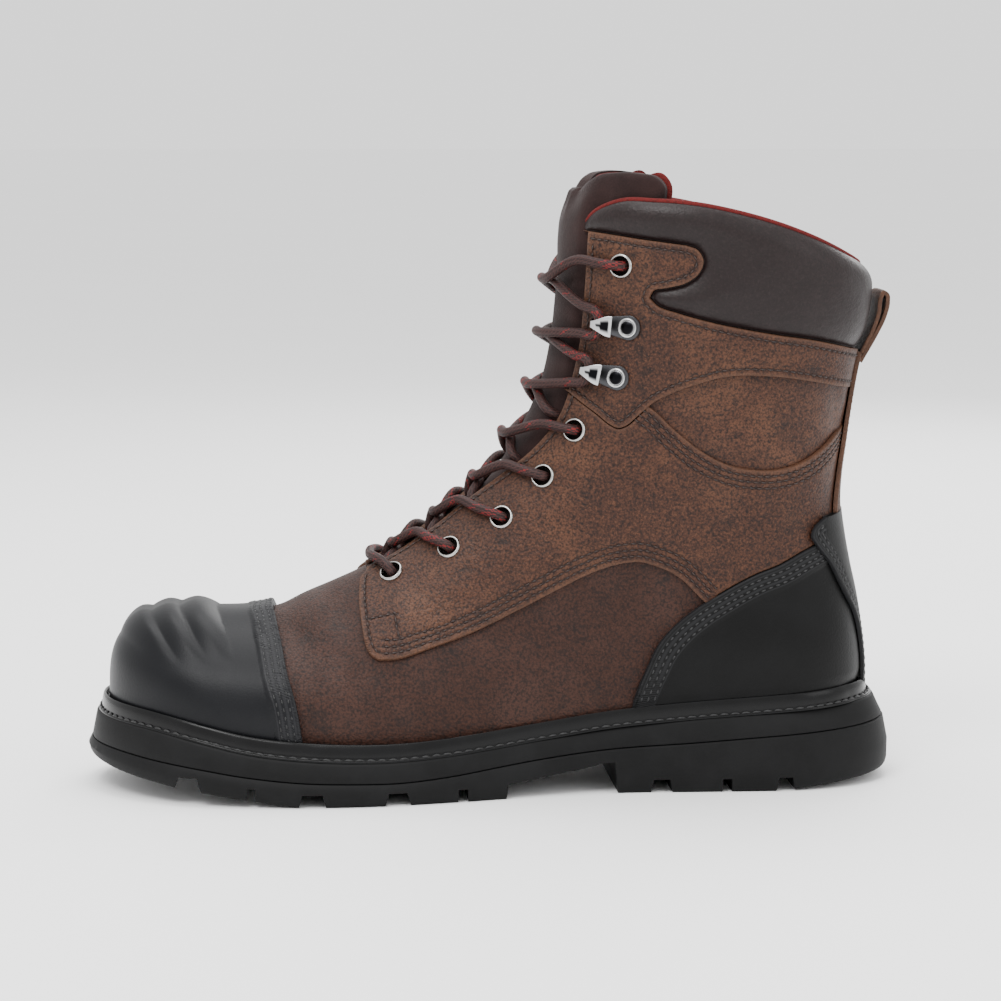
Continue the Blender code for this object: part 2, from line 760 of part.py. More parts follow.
def make_overlays(under_welt, throat, low_holes, top_hole):
    low_edge = list(QUARTER_FRONT) + list(QUARTER_LOW)
    quarter_outline = low_edge + list(COUNTER_TOP) + [(165, 149)] + moved(CUFF_LOW, -0.3)[::-1] + [(-60, 150)]
    quarter_outline = [p for p in quarter_outline if p is not None]
    cuff_outline = list(CUFF_LOW) + moved(CUFF_TOP, -0.3)[::-1]
    counter_outline = list(COUNTER_FRONT)[::-1] + [(170, 20), (170, 105)] + moved(COUNTER_TOP, -0.4)[::-1]
    for side, word in ((-1, "lateral"), (1, "medial")):
        quarter = last_shell(f"quarter_{word}", *VAMP_OVERLAY, (BROWN, 0.45))
        cut(quarter, region(f"quarter_area_{word}", quarter_outline, side), "INTERSECT")
        cuff = last_shell(f"cuff_{word}", *CUFF_OVERLAY, (BROWN, 0.45))
        cut(cuff, region(f"cuff_area_{word}", cuff_outline, side), "INTERSECT")
        cut(quarter, throat)
        cut(quarter, low_holes)
        cut(cuff, throat)
        cut(cuff, top_hole)
    counter = last_shell("heel_counter", *COUNTER_LAYER, (BLACK, 0.4))
    cut(counter, region("counter_area", counter_outline), "INTERSECT")
    cut(counter, under_welt)
    collar = last_shell("collar", *COLLAR_PAD, (DARK_BROWN, 0.5))
    cut(collar, region("collar_area", list(CUFF_TOP) + list(COLLAR_TOP)[::-1]), "INTERSECT")
    cut(collar, throat)


def both_sides(line):
    """A back-view outline from its right-hand side, bottom to top."""
    return [(y, z) for y, z in line] + [(-y, z) for y, z in reversed(line)]


def make_back(under_welt):
    stay = last_shell("back_stay", *BACK_LAYER, (BLACK, 0.4))
    cut(stay, prism("back_stay_area", both_sides(BACK_STAY_SIDE), 95, 190, "X"), "INTERSECT")
    cut(stay, under_welt)
    strip = last_shell("back_strip", *BACK_LAYER, (BROWN, 0.45))
    cut(strip, prism("back_strip_area", both_sides(BACK_STRIP_SIDE), 95, 190, "X"), "INTERSECT")
    make_pull_loop()


def make_pull_loop():
    """A folded webbing loop that stands off the back of the collar."""
    path = ((147.0, 171.5), (150.4, 178.0), (152.9, 184.0), (154.2, 188.8), (153.0, 190.8), (151.4, 189.6), (150.6, 186.0), (149.2, 180.0))
    half = 0.75
    outline = moved(path, half) + moved(path, -half)[::-1]
    work = prism("pull_loop_shape", outline, -9.5, 9.5)
    mesh = work.data.copy()
    bpy.data.objects.remove(work)
    mesh.name = "pull_loop"
    mesh.materials.append(finish("pull_loop", BROWN, 0.5))
    BOOT.objects.link(bpy.data.objects.new("pull_loop", mesh))


def make_tongue():
    thing = last_shell("tongue", *TONGUE_LAYER, (DARK_BROWN, 0.8))
    outline = [(-52.0, 70.0)] + list(TONGUE_REAR) + list(TONGUE_TOP) + [(0.0, 233.0), (-90.0, 100.0)]
    cut(thing, region("tongue_area", outline), "INTERSECT")


# Metal fittings
def local_frame(at, out, forward):
    """A placing matrix with Z outwards and X towards forward."""
    z = Vector(out).normalized()
    x = Vector(forward)
    x = (x - z * x.dot(z)).normalized()
    y = z.cross(x)
    turn = Matrix((x, y, z)).transposed().to_4x4()
    return Matrix.Translation(Vector(at) * MM) @ turn


def make_eyelet(name, place):
    profile = ((EYELET_HOLE + 0.7, EYELET_RISE), (EYELET_OUTER, 0.0), (EYELET_HOLE - 0.2, 0.0), (EYELET_HOLE - 0.2, 0.8))
    mesh = bpy.data.meshes.new(name)
    edges = [(i, (i + 1) % len(profile)) for i in range(len(profile))]
    mesh.from_pydata([(r * MM, 0, h * MM) for r, h in profile], edges, [])
    mesh.materials.append(finish(name, STEEL, 0.3, 1.0))
    thing = bpy.data.objects.new(name, mesh)
    BOOT.objects.link(thing)
    turn = thing.modifiers.new("turned", "SCREW")
    turn.steps = 10
    turn.render_steps = 10
    turn.use_merge_vertices = True
    turn.merge_threshold = 0.00005
    turn.use_smooth_shade = True
    thing.matrix_world = place


def make_hook(name, place):
    """A riveted base whose front curls up and back over the lace."""
    outline = (
        (-5.0, 0.0),
        (9.2, 0.0),
        (11.2, 1.2),
        (12.0, 3.2),
        (11.2, 5.2),
        (9.2, 6.2),
        (2.5, 5.6),
        (2.5, 4.8),
        (8.8, 5.2),
        (10.4, 4.4),
        (10.8, 3.2),
        (10.2, 1.8),
        (8.8, 1.0),
        (-5.0, 1.0),
    )
    work = prism(name + "_shape", outline, -4.2, 4.2)
    mesh = work.data.copy()
    bpy.data.objects.remove(work)
    mesh.name = name
    mesh.materials.append(finish(name, GUNMETAL, 0.4, 1.0))
    thing = bpy.data.objects.new(name, mesh)
    BOOT.objects.link(thing)
    thing.matrix_world = place


def front_way(x, z):
    """Direction square to the front line, towards the throat, in the side view."""
    near = np.hypot(FRONT_X - x, FRONT_Z - z).argmin()
    way = np.array([FRONT_X[near] - x, 0.0, FRONT_Z[near] - z])
    return way / np.linalg.norm(way)


def make_fittings():
    eyelets = 0
    hooks = 0
    for x, z, kind in LACE_ROWS:
        top = z > 190
        layer = CUFF_OVERLAY[1] if top or kind == "hook" else VAMP_OVERLAY[1]
        eyelets += kind == "eyelet"
        hooks += kind == "hook"
        for side, word in ((-1, "lateral"), (1, "medial")):
            at, out = surface(x, z, side, layer + 0.65)
            place = local_frame(at, out, front_way(x, z))
            if kind == "eyelet":
                make_eyelet(f"eyelet_{word}_{eyelets}", place)
            else:
                make_hook(f"hook_{word}_{hooks}", place)


# Laces
TURNS_TO_SIDE = np.linspace(0.0, 1.4, 120)


def throat_point(length, y, offset):
    """A point over the throat and its flaps: girth, y across, and height over the leather."""
    side_turns = TURNS_TO_SIDE if y <= 0 else -TURNS_TO_SIDE
    reach = np.abs(last_point(side_turns, np.full(side_turns.shape, length))[:, 1])
    turn = np.array([np.interp(abs(y), reach, side_turns)])
    girth = np.array([length])
    return (last_point(turn, girth) + last_normal(turn, girth) * offset)[0]


def girth_at(x, z):
    """The girth that passes through a side-view point."""
    turn, length = np.meshgrid(TURNS_TO_SIDE, np.linspace(60.0, 300.0, 481))
    points = last_point(turn, length)
    near = np.hypot(points[..., 0] - x, points[..., 2] - z).argmin()
    return float(length.ravel()[near])


def tube(name, points):
    """A capped tube through points, as a mesh object."""
    data = bpy.data.curves.new(name, "CURVE")
    data.dimensions = "3D"
    data.bevel_depth = LACE_RADIUS * MM
    data.bevel_resolution = 2
    data.use_fill_caps = True
    line = data.splines.new("POLY")
    line.points.add(len(points) - 1)
    for point, place in zip(line.points, points):
        point.co = (*(float(c) * MM for c in place), 1.0)
    holder = bpy.data.objects.new(name, data)
    BOOT.objects.link(holder)
    bpy.context.view_layer.update()
    mesh = bpy.data.meshes.new_from_object(holder.evaluated_get(bpy.context.evaluated_depsgraph_get()))
    bpy.data.objects.remove(holder)
    work = bmesh.new()
    work.from_mesh(mesh)
    bmesh.ops.remove_doubles(work, verts=work.verts, dist=0.00001)
    bmesh.ops.recalc_face_normals(work, faces=work.faces)
    work.to_mesh(mesh)
    work.free()
    mesh.name = name
    thing = bpy.data.objects.new(name, mesh)
    BOOT.objects.link(thing)
    return thing


def smooth_path(stations, steps=LACE_STEPS):
    """Points on a smooth curve through a strand's stations: length, y, offset."""
    rows = [(i, *station) for i, station in enumerate(stations)]
    at = np.linspace(0, len(stations) - 1, steps)
    columns = [curve(rows, k)(at) for k in (1, 2, 3)]
    return [throat_point(*station) for station in zip(*columns)]


def over_flap(z):
    layer = VAMP_OVERLAY[1] if z < 150 else CUFF_OVERLAY[1]
    return layer + LACE_RADIUS + 0.55


def make_laces():
    first_x, first_z, _ = LACE_ROWS[0]
    level = girth_at(first_x, first_z)
    reach = abs(float(last_y(first_x, first_z, -1))) - EYELET_OUTER - 2.6
    bar = [(level, y, over_flap(first_z) + 0.2) for y in np.linspace(-reach, reach, 5)]
    thing = tube("lace_bar", [throat_point(*p) for p in bar])
    thing.data.materials.append(finish("lace_bar", LACE_BROWN, 0.8))
    for number in range(len(LACE_ROWS) - 1):
        low_x, low_z, low_kind = LACE_ROWS[number]
        high_x, high_z, high_kind = LACE_ROWS[number + 1]
        low = girth_at(low_x, low_z)
        high = girth_at(high_x, high_z)
        low_edge = float(throat_half(np.interp(low, FRONT_LENGTH, FRONT_Z)))
        high_edge = float(throat_half(np.interp(high, FRONT_LENGTH, FRONT_Z)))
        tubes = []
        for side, lift in ((-1, 0.0), (1, 2.4)):
            if low_kind == "eyelet":
                start = [(low + 4.0, side * (low_edge - 2.6), 0.0)]
            else:
                height = over_flap(low_z)
                start = [(low + 4.0, side * (low_edge + 2.2), height), (low + 5.0, side * (low_edge - 2.5), height)]
            middle_point = ((low + high) / 2 + 0.3 * lift, 0.0, 0.9 + lift)
            edge = (high - 6.0, -side * (high_edge - 2.8), over_flap(high_z))
            if high_kind == "eyelet":
                reach = abs(float(last_y(high_x, high_z, -side))) - EYELET_OUTER - 2.8
                end = (high - 3.5, -side * max(reach, high_edge + 1.0), over_flap(high_z))
            else:
                end = (high - 4.0, -side * (high_edge + 2.2), over_flap(high_z))
            tubes.append(tube(f"lace_cross_{number + 1}" if side < 0 else f"strand_{number + 1}", smooth_path([*start, middle_point, edge, end])))
        cross, strand = tubes
        cross.data.materials.append(finish(cross.name, LACE_BROWN, 0.8))
        cut(cross, strand, "UNION")
        BOOT.objects.unlink(strand)
        CUTTERS.objects.link(strand)
        strand.hide_render = True
        strand.display_type = "WIRE"


def build_boot():
    under_welt = prism("under_welt", welt_top_line(WELT_TOP + 2 * GAP) + [(HEEL_TIP + 10, -20), (TOE_TIP - 10, -20)], -FAR, FAR)
    throat = throat_cutter()
    holes = hole_cutter("eyelet_holes", LACE_ROWS)
    low_holes = hole_cutter("low_eyelet_holes", LACE_ROWS[:-1])
    top_hole = hole_cutter("top_eyelet_hole", LACE_ROWS[-1:])
    make_outsole()
    make_midsole()
    make_welt()
    make_insole()
    make_upper(throat, holes)
    make_toe_cap(under_welt)
    make_overlays(under_welt, throat, low_holes, top_hole)
    make_back(under_welt)
    make_tongue()
    make_fittings()
    make_laces()


build_boot()
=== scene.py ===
"""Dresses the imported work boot: leather panels, seams, laces, rubber and metal over one fixed frame.

The toe points to -X, the wearer's outer side to -Y and up is Z.  Sizes are in millimetres here and
turn into metres where a mesh is made.
"""
import math

import bpy
import numpy as np
from mathutils import Matrix, Vector
from mathutils.geometry import delaunay_2d_cdt
from mathutils.kdtree import KDTree


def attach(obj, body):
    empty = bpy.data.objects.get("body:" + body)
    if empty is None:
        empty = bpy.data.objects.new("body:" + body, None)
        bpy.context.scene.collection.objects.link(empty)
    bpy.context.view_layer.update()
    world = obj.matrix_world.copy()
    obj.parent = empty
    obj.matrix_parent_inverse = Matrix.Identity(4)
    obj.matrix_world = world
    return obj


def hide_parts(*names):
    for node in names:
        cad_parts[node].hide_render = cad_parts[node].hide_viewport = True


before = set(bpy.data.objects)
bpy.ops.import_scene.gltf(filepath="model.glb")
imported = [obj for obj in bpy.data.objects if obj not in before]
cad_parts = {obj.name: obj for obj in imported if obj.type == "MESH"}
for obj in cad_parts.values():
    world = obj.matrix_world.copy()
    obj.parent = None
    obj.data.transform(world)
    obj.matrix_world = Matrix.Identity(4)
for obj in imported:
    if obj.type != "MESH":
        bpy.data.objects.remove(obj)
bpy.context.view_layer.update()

bl_info = {
    "name": "Work Boot Dress",
    "version": (1, 0, 0),
    "blender": (4, 5, 0),
    "location": "View3D > Sidebar > Boot",
    "description": "Leather, rubber, laces and metal for a lace-up work boot",
    "category": "Object",
}

MM = 0.001
SOLE_LENGTH = 315.0
TOE_TIP = -SOLE_LENGTH / 2
HEEL_TIP = SOLE_LENGTH / 2

# The sole's side, toe to heel: x, top edge, joint line, underside
SOLE_SIDE = (
    (-157.5, 29.0, 18.5, 12.6),
    (-147.0, 28.2, 17.8, 10.2),
    (-132.0, 27.0, 16.2, 7.8),
    (-113.0, 23.4, 14.0, 5.1),
    (-95.0, 19.5, 11.4, 2.6),
    (-76.0, 17.2, 9.5, 0.2),
    (-57.0, 16.1, 8.8, 0.0),
    (-38.0, 16.0, 8.6, 0.0),
    (-19.0, 17.2, 10.0, 0.0),
    (0.0, 19.2, 12.5, 0.0),
    (20.0, 21.8, 15.0, 0.0),
    (40.0, 24.6, 17.0, 0.0),
    (70.0, 27.3, 18.8, 0.0),
    (108.0, 29.8, 21.4, 0.0),
    (129.0, 31.4, 22.8, 2.0),
    (157.5, 33.0, 24.5, 4.5),
)
# The arch of the shank, as x, z
SHANK = (
    (2.2, -4.0), (3.4, 5.8), (13.0, 7.1), (25.0, 9.2), (33.0, 10.4), (41.0, 12.0), (45.0, 12.2),
    (46.8, -4.0),
)
# Tread grooves across the sole: from x, to x, depth, slant of the walls
GROOVES = (
    (-123.0, -113.0, 5.0, 1.5),
    (-96.0, -92.5, 5.0, 0.3),
    (-76.5, -66.0, 5.0, 1.5),
    (-44.0, -34.0, 5.0, 1.5),
    (-16.0, -12.0, 5.0, 0.3),
    (59.0, 67.5, 5.2, 1.2),
    (86.5, 90.5, 5.2, 0.3),
    (107.5, 115.0, 5.2, 1.2),
)
# How far the sole stands out beyond the last: x, margin
SOLE_MARGIN = (
    (-157.0, 10.5), (-100.0, 11.5), (-60.0, 11.7), (-20.0, 10.0), (20.0, 7.0), (50.0, 6.0), (80.0, 7.5),
    (158.0, 8.0),
)
# The last, seen from above: x, lateral y, medial y, middle line
PLAN = (
    (-147.0, -33.0, 40.0, 5.0),
    (-125.0, -38.5, 43.0, 4.5),
    (-100.0, -42.8, 45.2, 3.0),
    (-75.0, -45.3, 45.5, 1.0),
    (-45.0, -45.2, 43.5, -1.0),
    (-15.0, -41.5, 37.5, -1.0),
    (15.0, -37.0, 32.5, 0.0),
    (45.0, -34.0, 30.5, 0.0),
    (80.0, -33.0, 32.0, 0.0),
    (112.0, -33.0, 33.0, 0.0),
    (160.0, -33.0, 33.0, 0.0),
)
# The shaft's half width at each height
SHAFT = (
    (30.0, 33.5), (60.0, 33.5), (90.0, 34.5), (120.0, 37.0), (160.0, 40.0), (200.0, 42.0), (240.0, 43.0),
)
# The front line behind the toe: x, z, depth of its rounding
FRONT = (
    (-100.0, 65.8, 38.0),
    (-90.0, 66.6, 41.0),
    (-84.0, 68.0, 43.0),
    (-74.0, 72.5, 47.0),
    (-63.0, 77.3, 50.0),
    (-48.0, 84.2, 54.0),
    (-36.0, 91.2, 56.0),
    (-25.0, 99.0, 57.0),
    (-10.0, 112.0, 58.0),
    (0.0, 121.5, 58.0),
    (8.0, 131.0, 57.0),
    (14.5, 142.0, 56.0),
    (20.0, 155.0, 55.0),
    (23.5, 170.0, 55.0),
    (26.0, 192.0, 55.0),
    (28.0, 215.0, 55.0),
    (29.5, 232.0, 55.0),
    (30.5, 248.0, 55.0),
)
# The back line: z, x, depth of its rounding
BACK = (
    (20.0, 143.5, 33.0),
    (48.0, 143.5, 33.0),
    (60.0, 142.0, 33.0),
    (72.0, 140.0, 34.0),
    (84.0, 137.3, 35.0),
    (96.0, 135.0, 36.0),
    (108.0, 133.4, 37.0),
    (120.0, 133.8, 39.0),
    (132.0, 135.3, 41.0),
    (147.0, 137.3, 43.0),
    (163.0, 140.0, 44.0),
    (173.0, 142.3, 45.0),
    (183.0, 144.0, 46.0),
    (192.0, 144.3, 46.0),
    (202.0, 143.5, 46.0),
    (240.0, 142.0, 46.0),
)
# The toe box: middle of its rounding, reach ahead of it, height, squareness from the side and in plan
TOE_CENTRE = -100.0
TOE_REACH = 46.5
TOE_TOP = 65.8
TOE_SQUARE = 4.0
TOE_PLAN_SQUARE = 2.25
# The upper's lower edge over the sole's top, and how much the walls bulge out
SEAT = 2.9
BULGE = 0.06
# Girths round the last: length along the front line, height half way back, height at the back
GIRTHS = (
    (0.0, 28.0, 35.0),
    (28.0, 32.0, 41.0),
    (55.0, 37.0, 48.0),
    (74.0, 43.0, 55.0),
    (88.0, 50.0, 62.0),
    (155.0, 86.0, 94.0),
    (214.0, 134.0, 134.0),
    (300.0, 214.0, 203.0),
    (320.0, 232.0, 219.0),
)
# Throat: height on the front line, half width of the slot
THROAT = (
    (78.0, 6.5), (84.0, 8.5), (95.0, 9.5), (112.0, 11.0), (122.0, 14.0), (132.0, 18.0), (142.0, 21.0),
    (160.0, 22.5), (250.0, 23.0),
)
# Where the throat starts on the front line
THROAT_START_X = -47.0

# Lines on the side of the upper, as x, z
TOE_CAP_REAR = ((-84.0, 66.0), (-82.0, 58.0), (-80.0, 48.0), (-77.0, 38.0), (-74.8, 25.0), (-74.3, 20.8))
QUARTER_FRONT = (
    (-48.4, 82.2), (-50.8, 80.0), (-51.7, 76.0), (-51.3, 64.0), (-50.2, 58.0), (-48.6, 54.8), (-45.6, 53.0),
)
QUARTER_LOW = (
    (-45.6, 53.0), (-40.0, 53.1), (-26.0, 57.0), (-10.0, 62.6), (7.0, 70.6), (24.0, 79.3), (33.0, 83.8),
    (41.0, 87.0), (49.0, 88.9), (55.0, 89.2), (61.0, 87.4), (67.0, 84.8), (72.0, 81.2), (77.0, 76.0),
    (81.0, 72.0),
)
VAMP_REAR = (
    (90.0, 33.0), (88.0, 60.0), (78.0, 88.0), (54.0, 98.0), (24.0, 90.0), (0.0, 80.0), (-20.0, 70.0),
    (-36.0, 66.0),
)
COUNTER_FRONT = (
    (52.0, 29.0), (52.2, 33.8), (54.0, 39.8), (57.4, 48.0), (62.0, 57.2), (69.7, 65.5), (77.5, 71.5),
)
COUNTER_TOP = (
    (77.5, 71.5), (85.2, 76.1), (92.5, 80.3), (100.1, 84.1), (107.9, 87.1), (116.7, 91.7), (126.0, 95.5),
)
CUFF_LOW = (
    (28.0, 154.5), (33.7, 149.7), (39.3, 145.4), (43.7, 141.8), (46.6, 140.6), (49.5, 141.7), (53.6, 145.4),
    (59.5, 150.7), (68.0, 155.1), (76.6, 158.1), (85.3, 160.3), (94.1, 160.8), (107.3, 160.1),
    (121.5, 157.7), (134.0, 154.8), (141.0, 153.0),
)
CUFF_TAB = ((35.2, 214.9), (42.7, 213.9), (54.7, 212.1), (66.0, 210.6), (70.5, 210.0))
CUFF_TAB_END = (
    (70.5, 210.0), (74.9, 208.4), (77.2, 204.2), (75.4, 199.3), (70.9, 195.9), (64.2, 194.0), (59.1, 192.8),
    (57.7, 190.1),
)
CUFF_TOP = (
    (57.7, 190.1), (60.5, 187.2), (67.6, 184.6), (81.4, 180.8), (102.6, 176.6), (120.8, 173.7),
    (143.9, 168.1),
)
CRESCENT = (
    (46.5, 155.5), (53.9, 151.5), (59.5, 147.6), (66.7, 140.6), (77.9, 131.7), (87.9, 126.6), (97.6, 124.6),
    (105.4, 124.4), (113.9, 126.0), (124.2, 131.0), (132.4, 137.3), (139.5, 142.5),
)
ANKLE_LOW = (
    (41.0, 152.0), (50.0, 148.0), (58.0, 141.0), (72.0, 129.0), (88.0, 121.0), (105.0, 119.0),
    (118.0, 122.5), (130.0, 130.0), (139.0, 137.0),
)
ANKLE_HIGH = (
    (41.0, 152.0), (52.0, 157.0), (66.0, 162.0), (86.0, 166.0), (108.0, 166.0), (124.0, 163.0),
    (141.0, 158.0),
)
COLLAR_TOP = (
    (33.5, 215.5), (37.5, 221.5), (46.0, 226.0), (60.0, 226.3), (75.0, 225.0), (90.0, 222.0),
    (106.0, 217.5), (122.0, 211.5), (136.0, 205.0), (145.0, 200.5),
)
TONGUE_REAR = (
    (-30.0, 84.0), (-8.0, 100.0), (14.0, 122.0), (34.0, 146.0), (46.0, 172.0), (54.0, 200.0), (59.5, 218.0),
    (62.0, 227.0), (62.2, 231.5), (59.0, 235.2), (52.0, 236.8), (43.0, 237.1), (37.0, 236.2), (33.2, 233.8),
    (31.2, 231.2),
)
# The folded pull loop, seen from the side
PULL_LOOP = (
    (143.8, 163.5), (146.4, 168.0), (150.2, 174.8), (153.2, 181.2), (154.5, 187.0), (154.2, 189.6),
    (152.8, 190.5), (151.8, 188.6), (151.0, 182.6), (148.4, 175.0), (146.0, 170.2), (144.4, 167.0),
)
# Lines on the back, as half width and z
BACK_STAY_SIDE = (
    (12.5, 32.0), (12.5, 52.0), (16.0, 64.0), (21.0, 73.0), (25.0, 86.0), (28.5, 94.0), (29.5, 98.0),
    (28.4, 101.5), (25.0, 104.6),
)
BACK_STRIP_SIDE = ((18.0, 104.0), (14.5, 120.0), (12.5, 140.0), (11.0, 155.0), (11.0, 168.0))

# Heights over the last: inner and outer face of each layer
LINING = (-2.2, -0.55)
SKIN = (-0.5, 0.05)
QUARTER = (0.3, 1.9)
CUFF = (0.3, 2.4)
COUNTER = (0.3, 2.5)
ANKLE = (-0.5, 0.1)
STAY = (2.9, 4.5)
STRIP = (2.5, 4.2)
TOE_CAP = (0.5, 2.7)
TONGUE = (-7.4, -2.6)
TONGUE_BACK = (-8.6, -7.5)
COLLAR = (0.3, 3.8)
COLLAR_INNER = (-5.4, -2.3)

# Ridges over the toe: crest x, reach ahead, reach behind
RIDGES = ((-135.0, 10.0, 5.4), (-125.6, 8.8, 7.0), (-115.1, 8.6, 8.4))

# Rows of the lacing, from the toe up: x, z, what stands there
LACE_ROWS = (
    (-39.0, 83.0, "eyelet"),
    (-17.0, 93.0, "eyelet"),
    (3.0, 105.0, "eyelet"),
    (19.0, 121.0, "eyelet"),
    (31.0, 139.0, "eyelet"),
    (45.0, 160.0, "hook"),
    (49.0, 179.0, "hook"),
    (48.0, 202.0, "eyelet"),
)
# Radius of the holes in the leather
EYELET_HOLE = 3.9

LATERAL = -1
MEDIAL = 1
SIDES = (LATERAL, MEDIAL)


def curve(points, column=1):
    """A smooth curve through table rows: the given column as a function of the first."""
    at = np.array([row[0] for row in points], float)
    value = np.array([row[column] for row in points], float)
    step = np.diff(at)
    slope = np.diff(value) / step
    inner = (slope[:-1] * step[1:] + slope[1:] * step[:-1]) / (step[:-1] + step[1:])
    tangent = np.concatenate(([slope[0]], inner, [slope[-1]]))

    def read(x):
        x = np.asarray(x, float)
        row = np.clip(np.searchsorted(at, x) - 1, 0, len(at) - 2)
        t = (x - at[row]) / step[row]
        a = np.clip(t, 0.0, 1.0)
        out = (2 * a**3 - 3 * a**2 + 1) * value[row] + (a**3 - 2 * a**2 + a) * step[row] * tangent[row]
        out = out + (3 * a**2 - 2 * a**3) * value[row + 1] + (a**3 - a**2) * step[row] * tangent[row + 1]
        before = np.where(t < 0, t * step[0] * tangent[0], 0.0)
        after = np.where(t > 1, (t - 1) * step[-1] * tangent[-1], 0.0)
        return out + before + after

    return read


def ease(t):
    """A smooth step from 0 to 1."""
    t = np.clip(t, 0.0, 1.0)
    return t * t * (3 - 2 * t)


def rounded(rho, square):
    """The height of a rounded end: 1 at its root (rho 0) and 0 at its tip (rho 1)."""
    return np.clip(1 - np.clip(rho, 0, 1) ** square, 0, 1) ** (1 / square)


def run_along(points):
    """How far along a line each of its points is."""
    return np.concatenate(([0.0], np.cumsum(np.linalg.norm(np.diff(points, axis=0), axis=1))))


sole_top = curve(SOLE_SIDE, 1)
sole_joint = curve(SOLE_SIDE, 2)
sole_under = curve(SOLE_SIDE, 3)
sole_margin = curve(SOLE_MARGIN)
lateral = curve(PLAN, 1)
medial = curve(PLAN, 2)
middle = curve(PLAN, 3)
shaft_half = curve(SHAFT)
back_x = curve(BACK, 1)
back_depth = curve(BACK, 2)
throat_half = curve(THROAT)
girth_middle = curve(GIRTHS, 1)
girth_back = curve(GIRTHS, 2)


def feather(x):
    """Height of the upper's lower edge."""
    return sole_top(x) + SEAT


def front_line():
    """The upper's front line in the side view, toe to tongue: length, x, z, rounding depth."""
    foot = float(feather(TOE_CENTRE - TOE_REACH))
    turn = np.linspace(0.0, math.pi / 2, 60)
    x = TOE_CENTRE - TOE_REACH * np.cos(turn) ** (2 / TOE_SQUARE)
    z = foot + (TOE_TOP - foot) * np.sin(turn) ** (2 / TOE_SQUARE)
    rows = np.array(FRONT)
    run = np.concatenate(([0.0], np.cumsum(np.hypot(np.diff(rows[:, 0]), np.diff(rows[:, 1])))))
    fine = np.linspace(0.0, run[-1], 400)
    columns = [curve(list(zip(run, rows[:, k])))(fine) for k in range(3)]
    x = np.concatenate((x[:-1], columns[0]))
    z = np.concatenate((z[:-1], columns[1]))
    depth = np.concatenate((np.full(59, rows[0, 2]), columns[2]))
    length = np.concatenate(([0.0], np.cumsum(np.hypot(np.diff(x), np.diff(z)))))
    return length, x, z, depth


FRONT_LENGTH, FRONT_X, FRONT_Z, FRONT_DEPTH = front_line()


def front_rho(x, z):
    """0 deep inside the last and 1 on its front line."""
    shape = np.shape(x)
    x = np.ravel(np.asarray(x, float))
    z = np.ravel(np.asarray(z, float))
    near = np.empty(len(x), int)
    for start in range(0, len(x), 20000):
        part = slice(start, start + 20000)
        gap = np.hypot(x[part, None] - FRONT_X[None, :], z[part, None] - FRONT_Z[None, :])
        near[part] = gap.argmin(axis=1)
    far = np.full(len(x), 1e9)
    depth = np.zeros(len(x))
    for step in (-1, 0):
        a = np.clip(near + step, 0, len(FRONT_X) - 2)
        run_x = FRONT_X[a + 1] - FRONT_X[a]
        run_z = FRONT_Z[a + 1] - FRONT_Z[a]
        share = np.clip(((x - FRONT_X[a]) * run_x + (z - FRONT_Z[a]) * run_z) / (run_x**2 + run_z**2), 0, 1)
        gap = np.hypot(x - FRONT_X[a] - share * run_x, z - FRONT_Z[a] - share * run_z)
        closer = gap < far
        far = np.where(closer, gap, far)
        depth = np.where(closer, FRONT_DEPTH[a] + share * (FRONT_DEPTH[a + 1] - FRONT_DEPTH[a]), depth)
    shaft = 1 - far / depth
    ahead = np.clip((TOE_CENTRE - x) / TOE_REACH, 0, None)
    foot = feather(x)
    above = np.clip((z - foot) / (TOE_TOP - foot), 0, None)
    toe = (ahead**TOE_SQUARE + above**TOE_SQUARE) ** (1 / TOE_SQUARE)
    mix = ease((x + 108) / 16)
    return np.clip(toe * (1 - mix) + np.clip(shaft, 0, 1) * mix, 0, 1).reshape(shape)


def last_y(x, z, side):
    """The last's surface at side-view point x, z: side -1 is lateral and 1 medial."""
    height = z - feather(x)
    up = ease((height - 5) / 85)
    bulge = 1 + BULGE * np.sin(math.pi * np.clip(height / 50, 0, 1)) ** 2 * (1 - up)
    full = np.where(np.asarray(side) < 0, lateral(x), medial(x))
    wall = full * (1 - up) * bulge + side * shaft_half(z) * up
    centre = middle(x) * (1 - up)
    square = TOE_PLAN_SQUARE + (2.0 - TOE_PLAN_SQUARE) * ease((z - 80) / 50)
    back = 1 - (back_x(z) - x) / back_depth(z)
    return centre + (wall - centre) * rounded(front_rho(x, z), square) * rounded(back, 2.25)


def last_point(turn, length):
    """A point on the last: turn goes round from the front, length is measured up the front line."""
    q = (1 - np.cos(turn)) / 2
    fx = np.interp(length, FRONT_LENGTH, FRONT_X)
    fz = np.interp(length, FRONT_LENGTH, FRONT_Z)
    kz = girth_back(length)
    x = fx + (back_x(kz) - fx) * q

    def girth(front, half_way, back):
        return front * (1 - q) * (1 - 2 * q) + half_way * 4 * q * (1 - q) + back * q * (2 * q - 1)

    z = girth(fz, girth_middle(length), kz)
    low_z = girth(FRONT_Z[0], girth_middle(0.0), girth_back(0.0))
    z = z + (feather(x) - low_z) * (1 - ease(length / 60))
    side = np.where(turn >= 0, -1.0, 1.0)
    return np.stack((x, last_y(x, z, side), z), axis=-1)


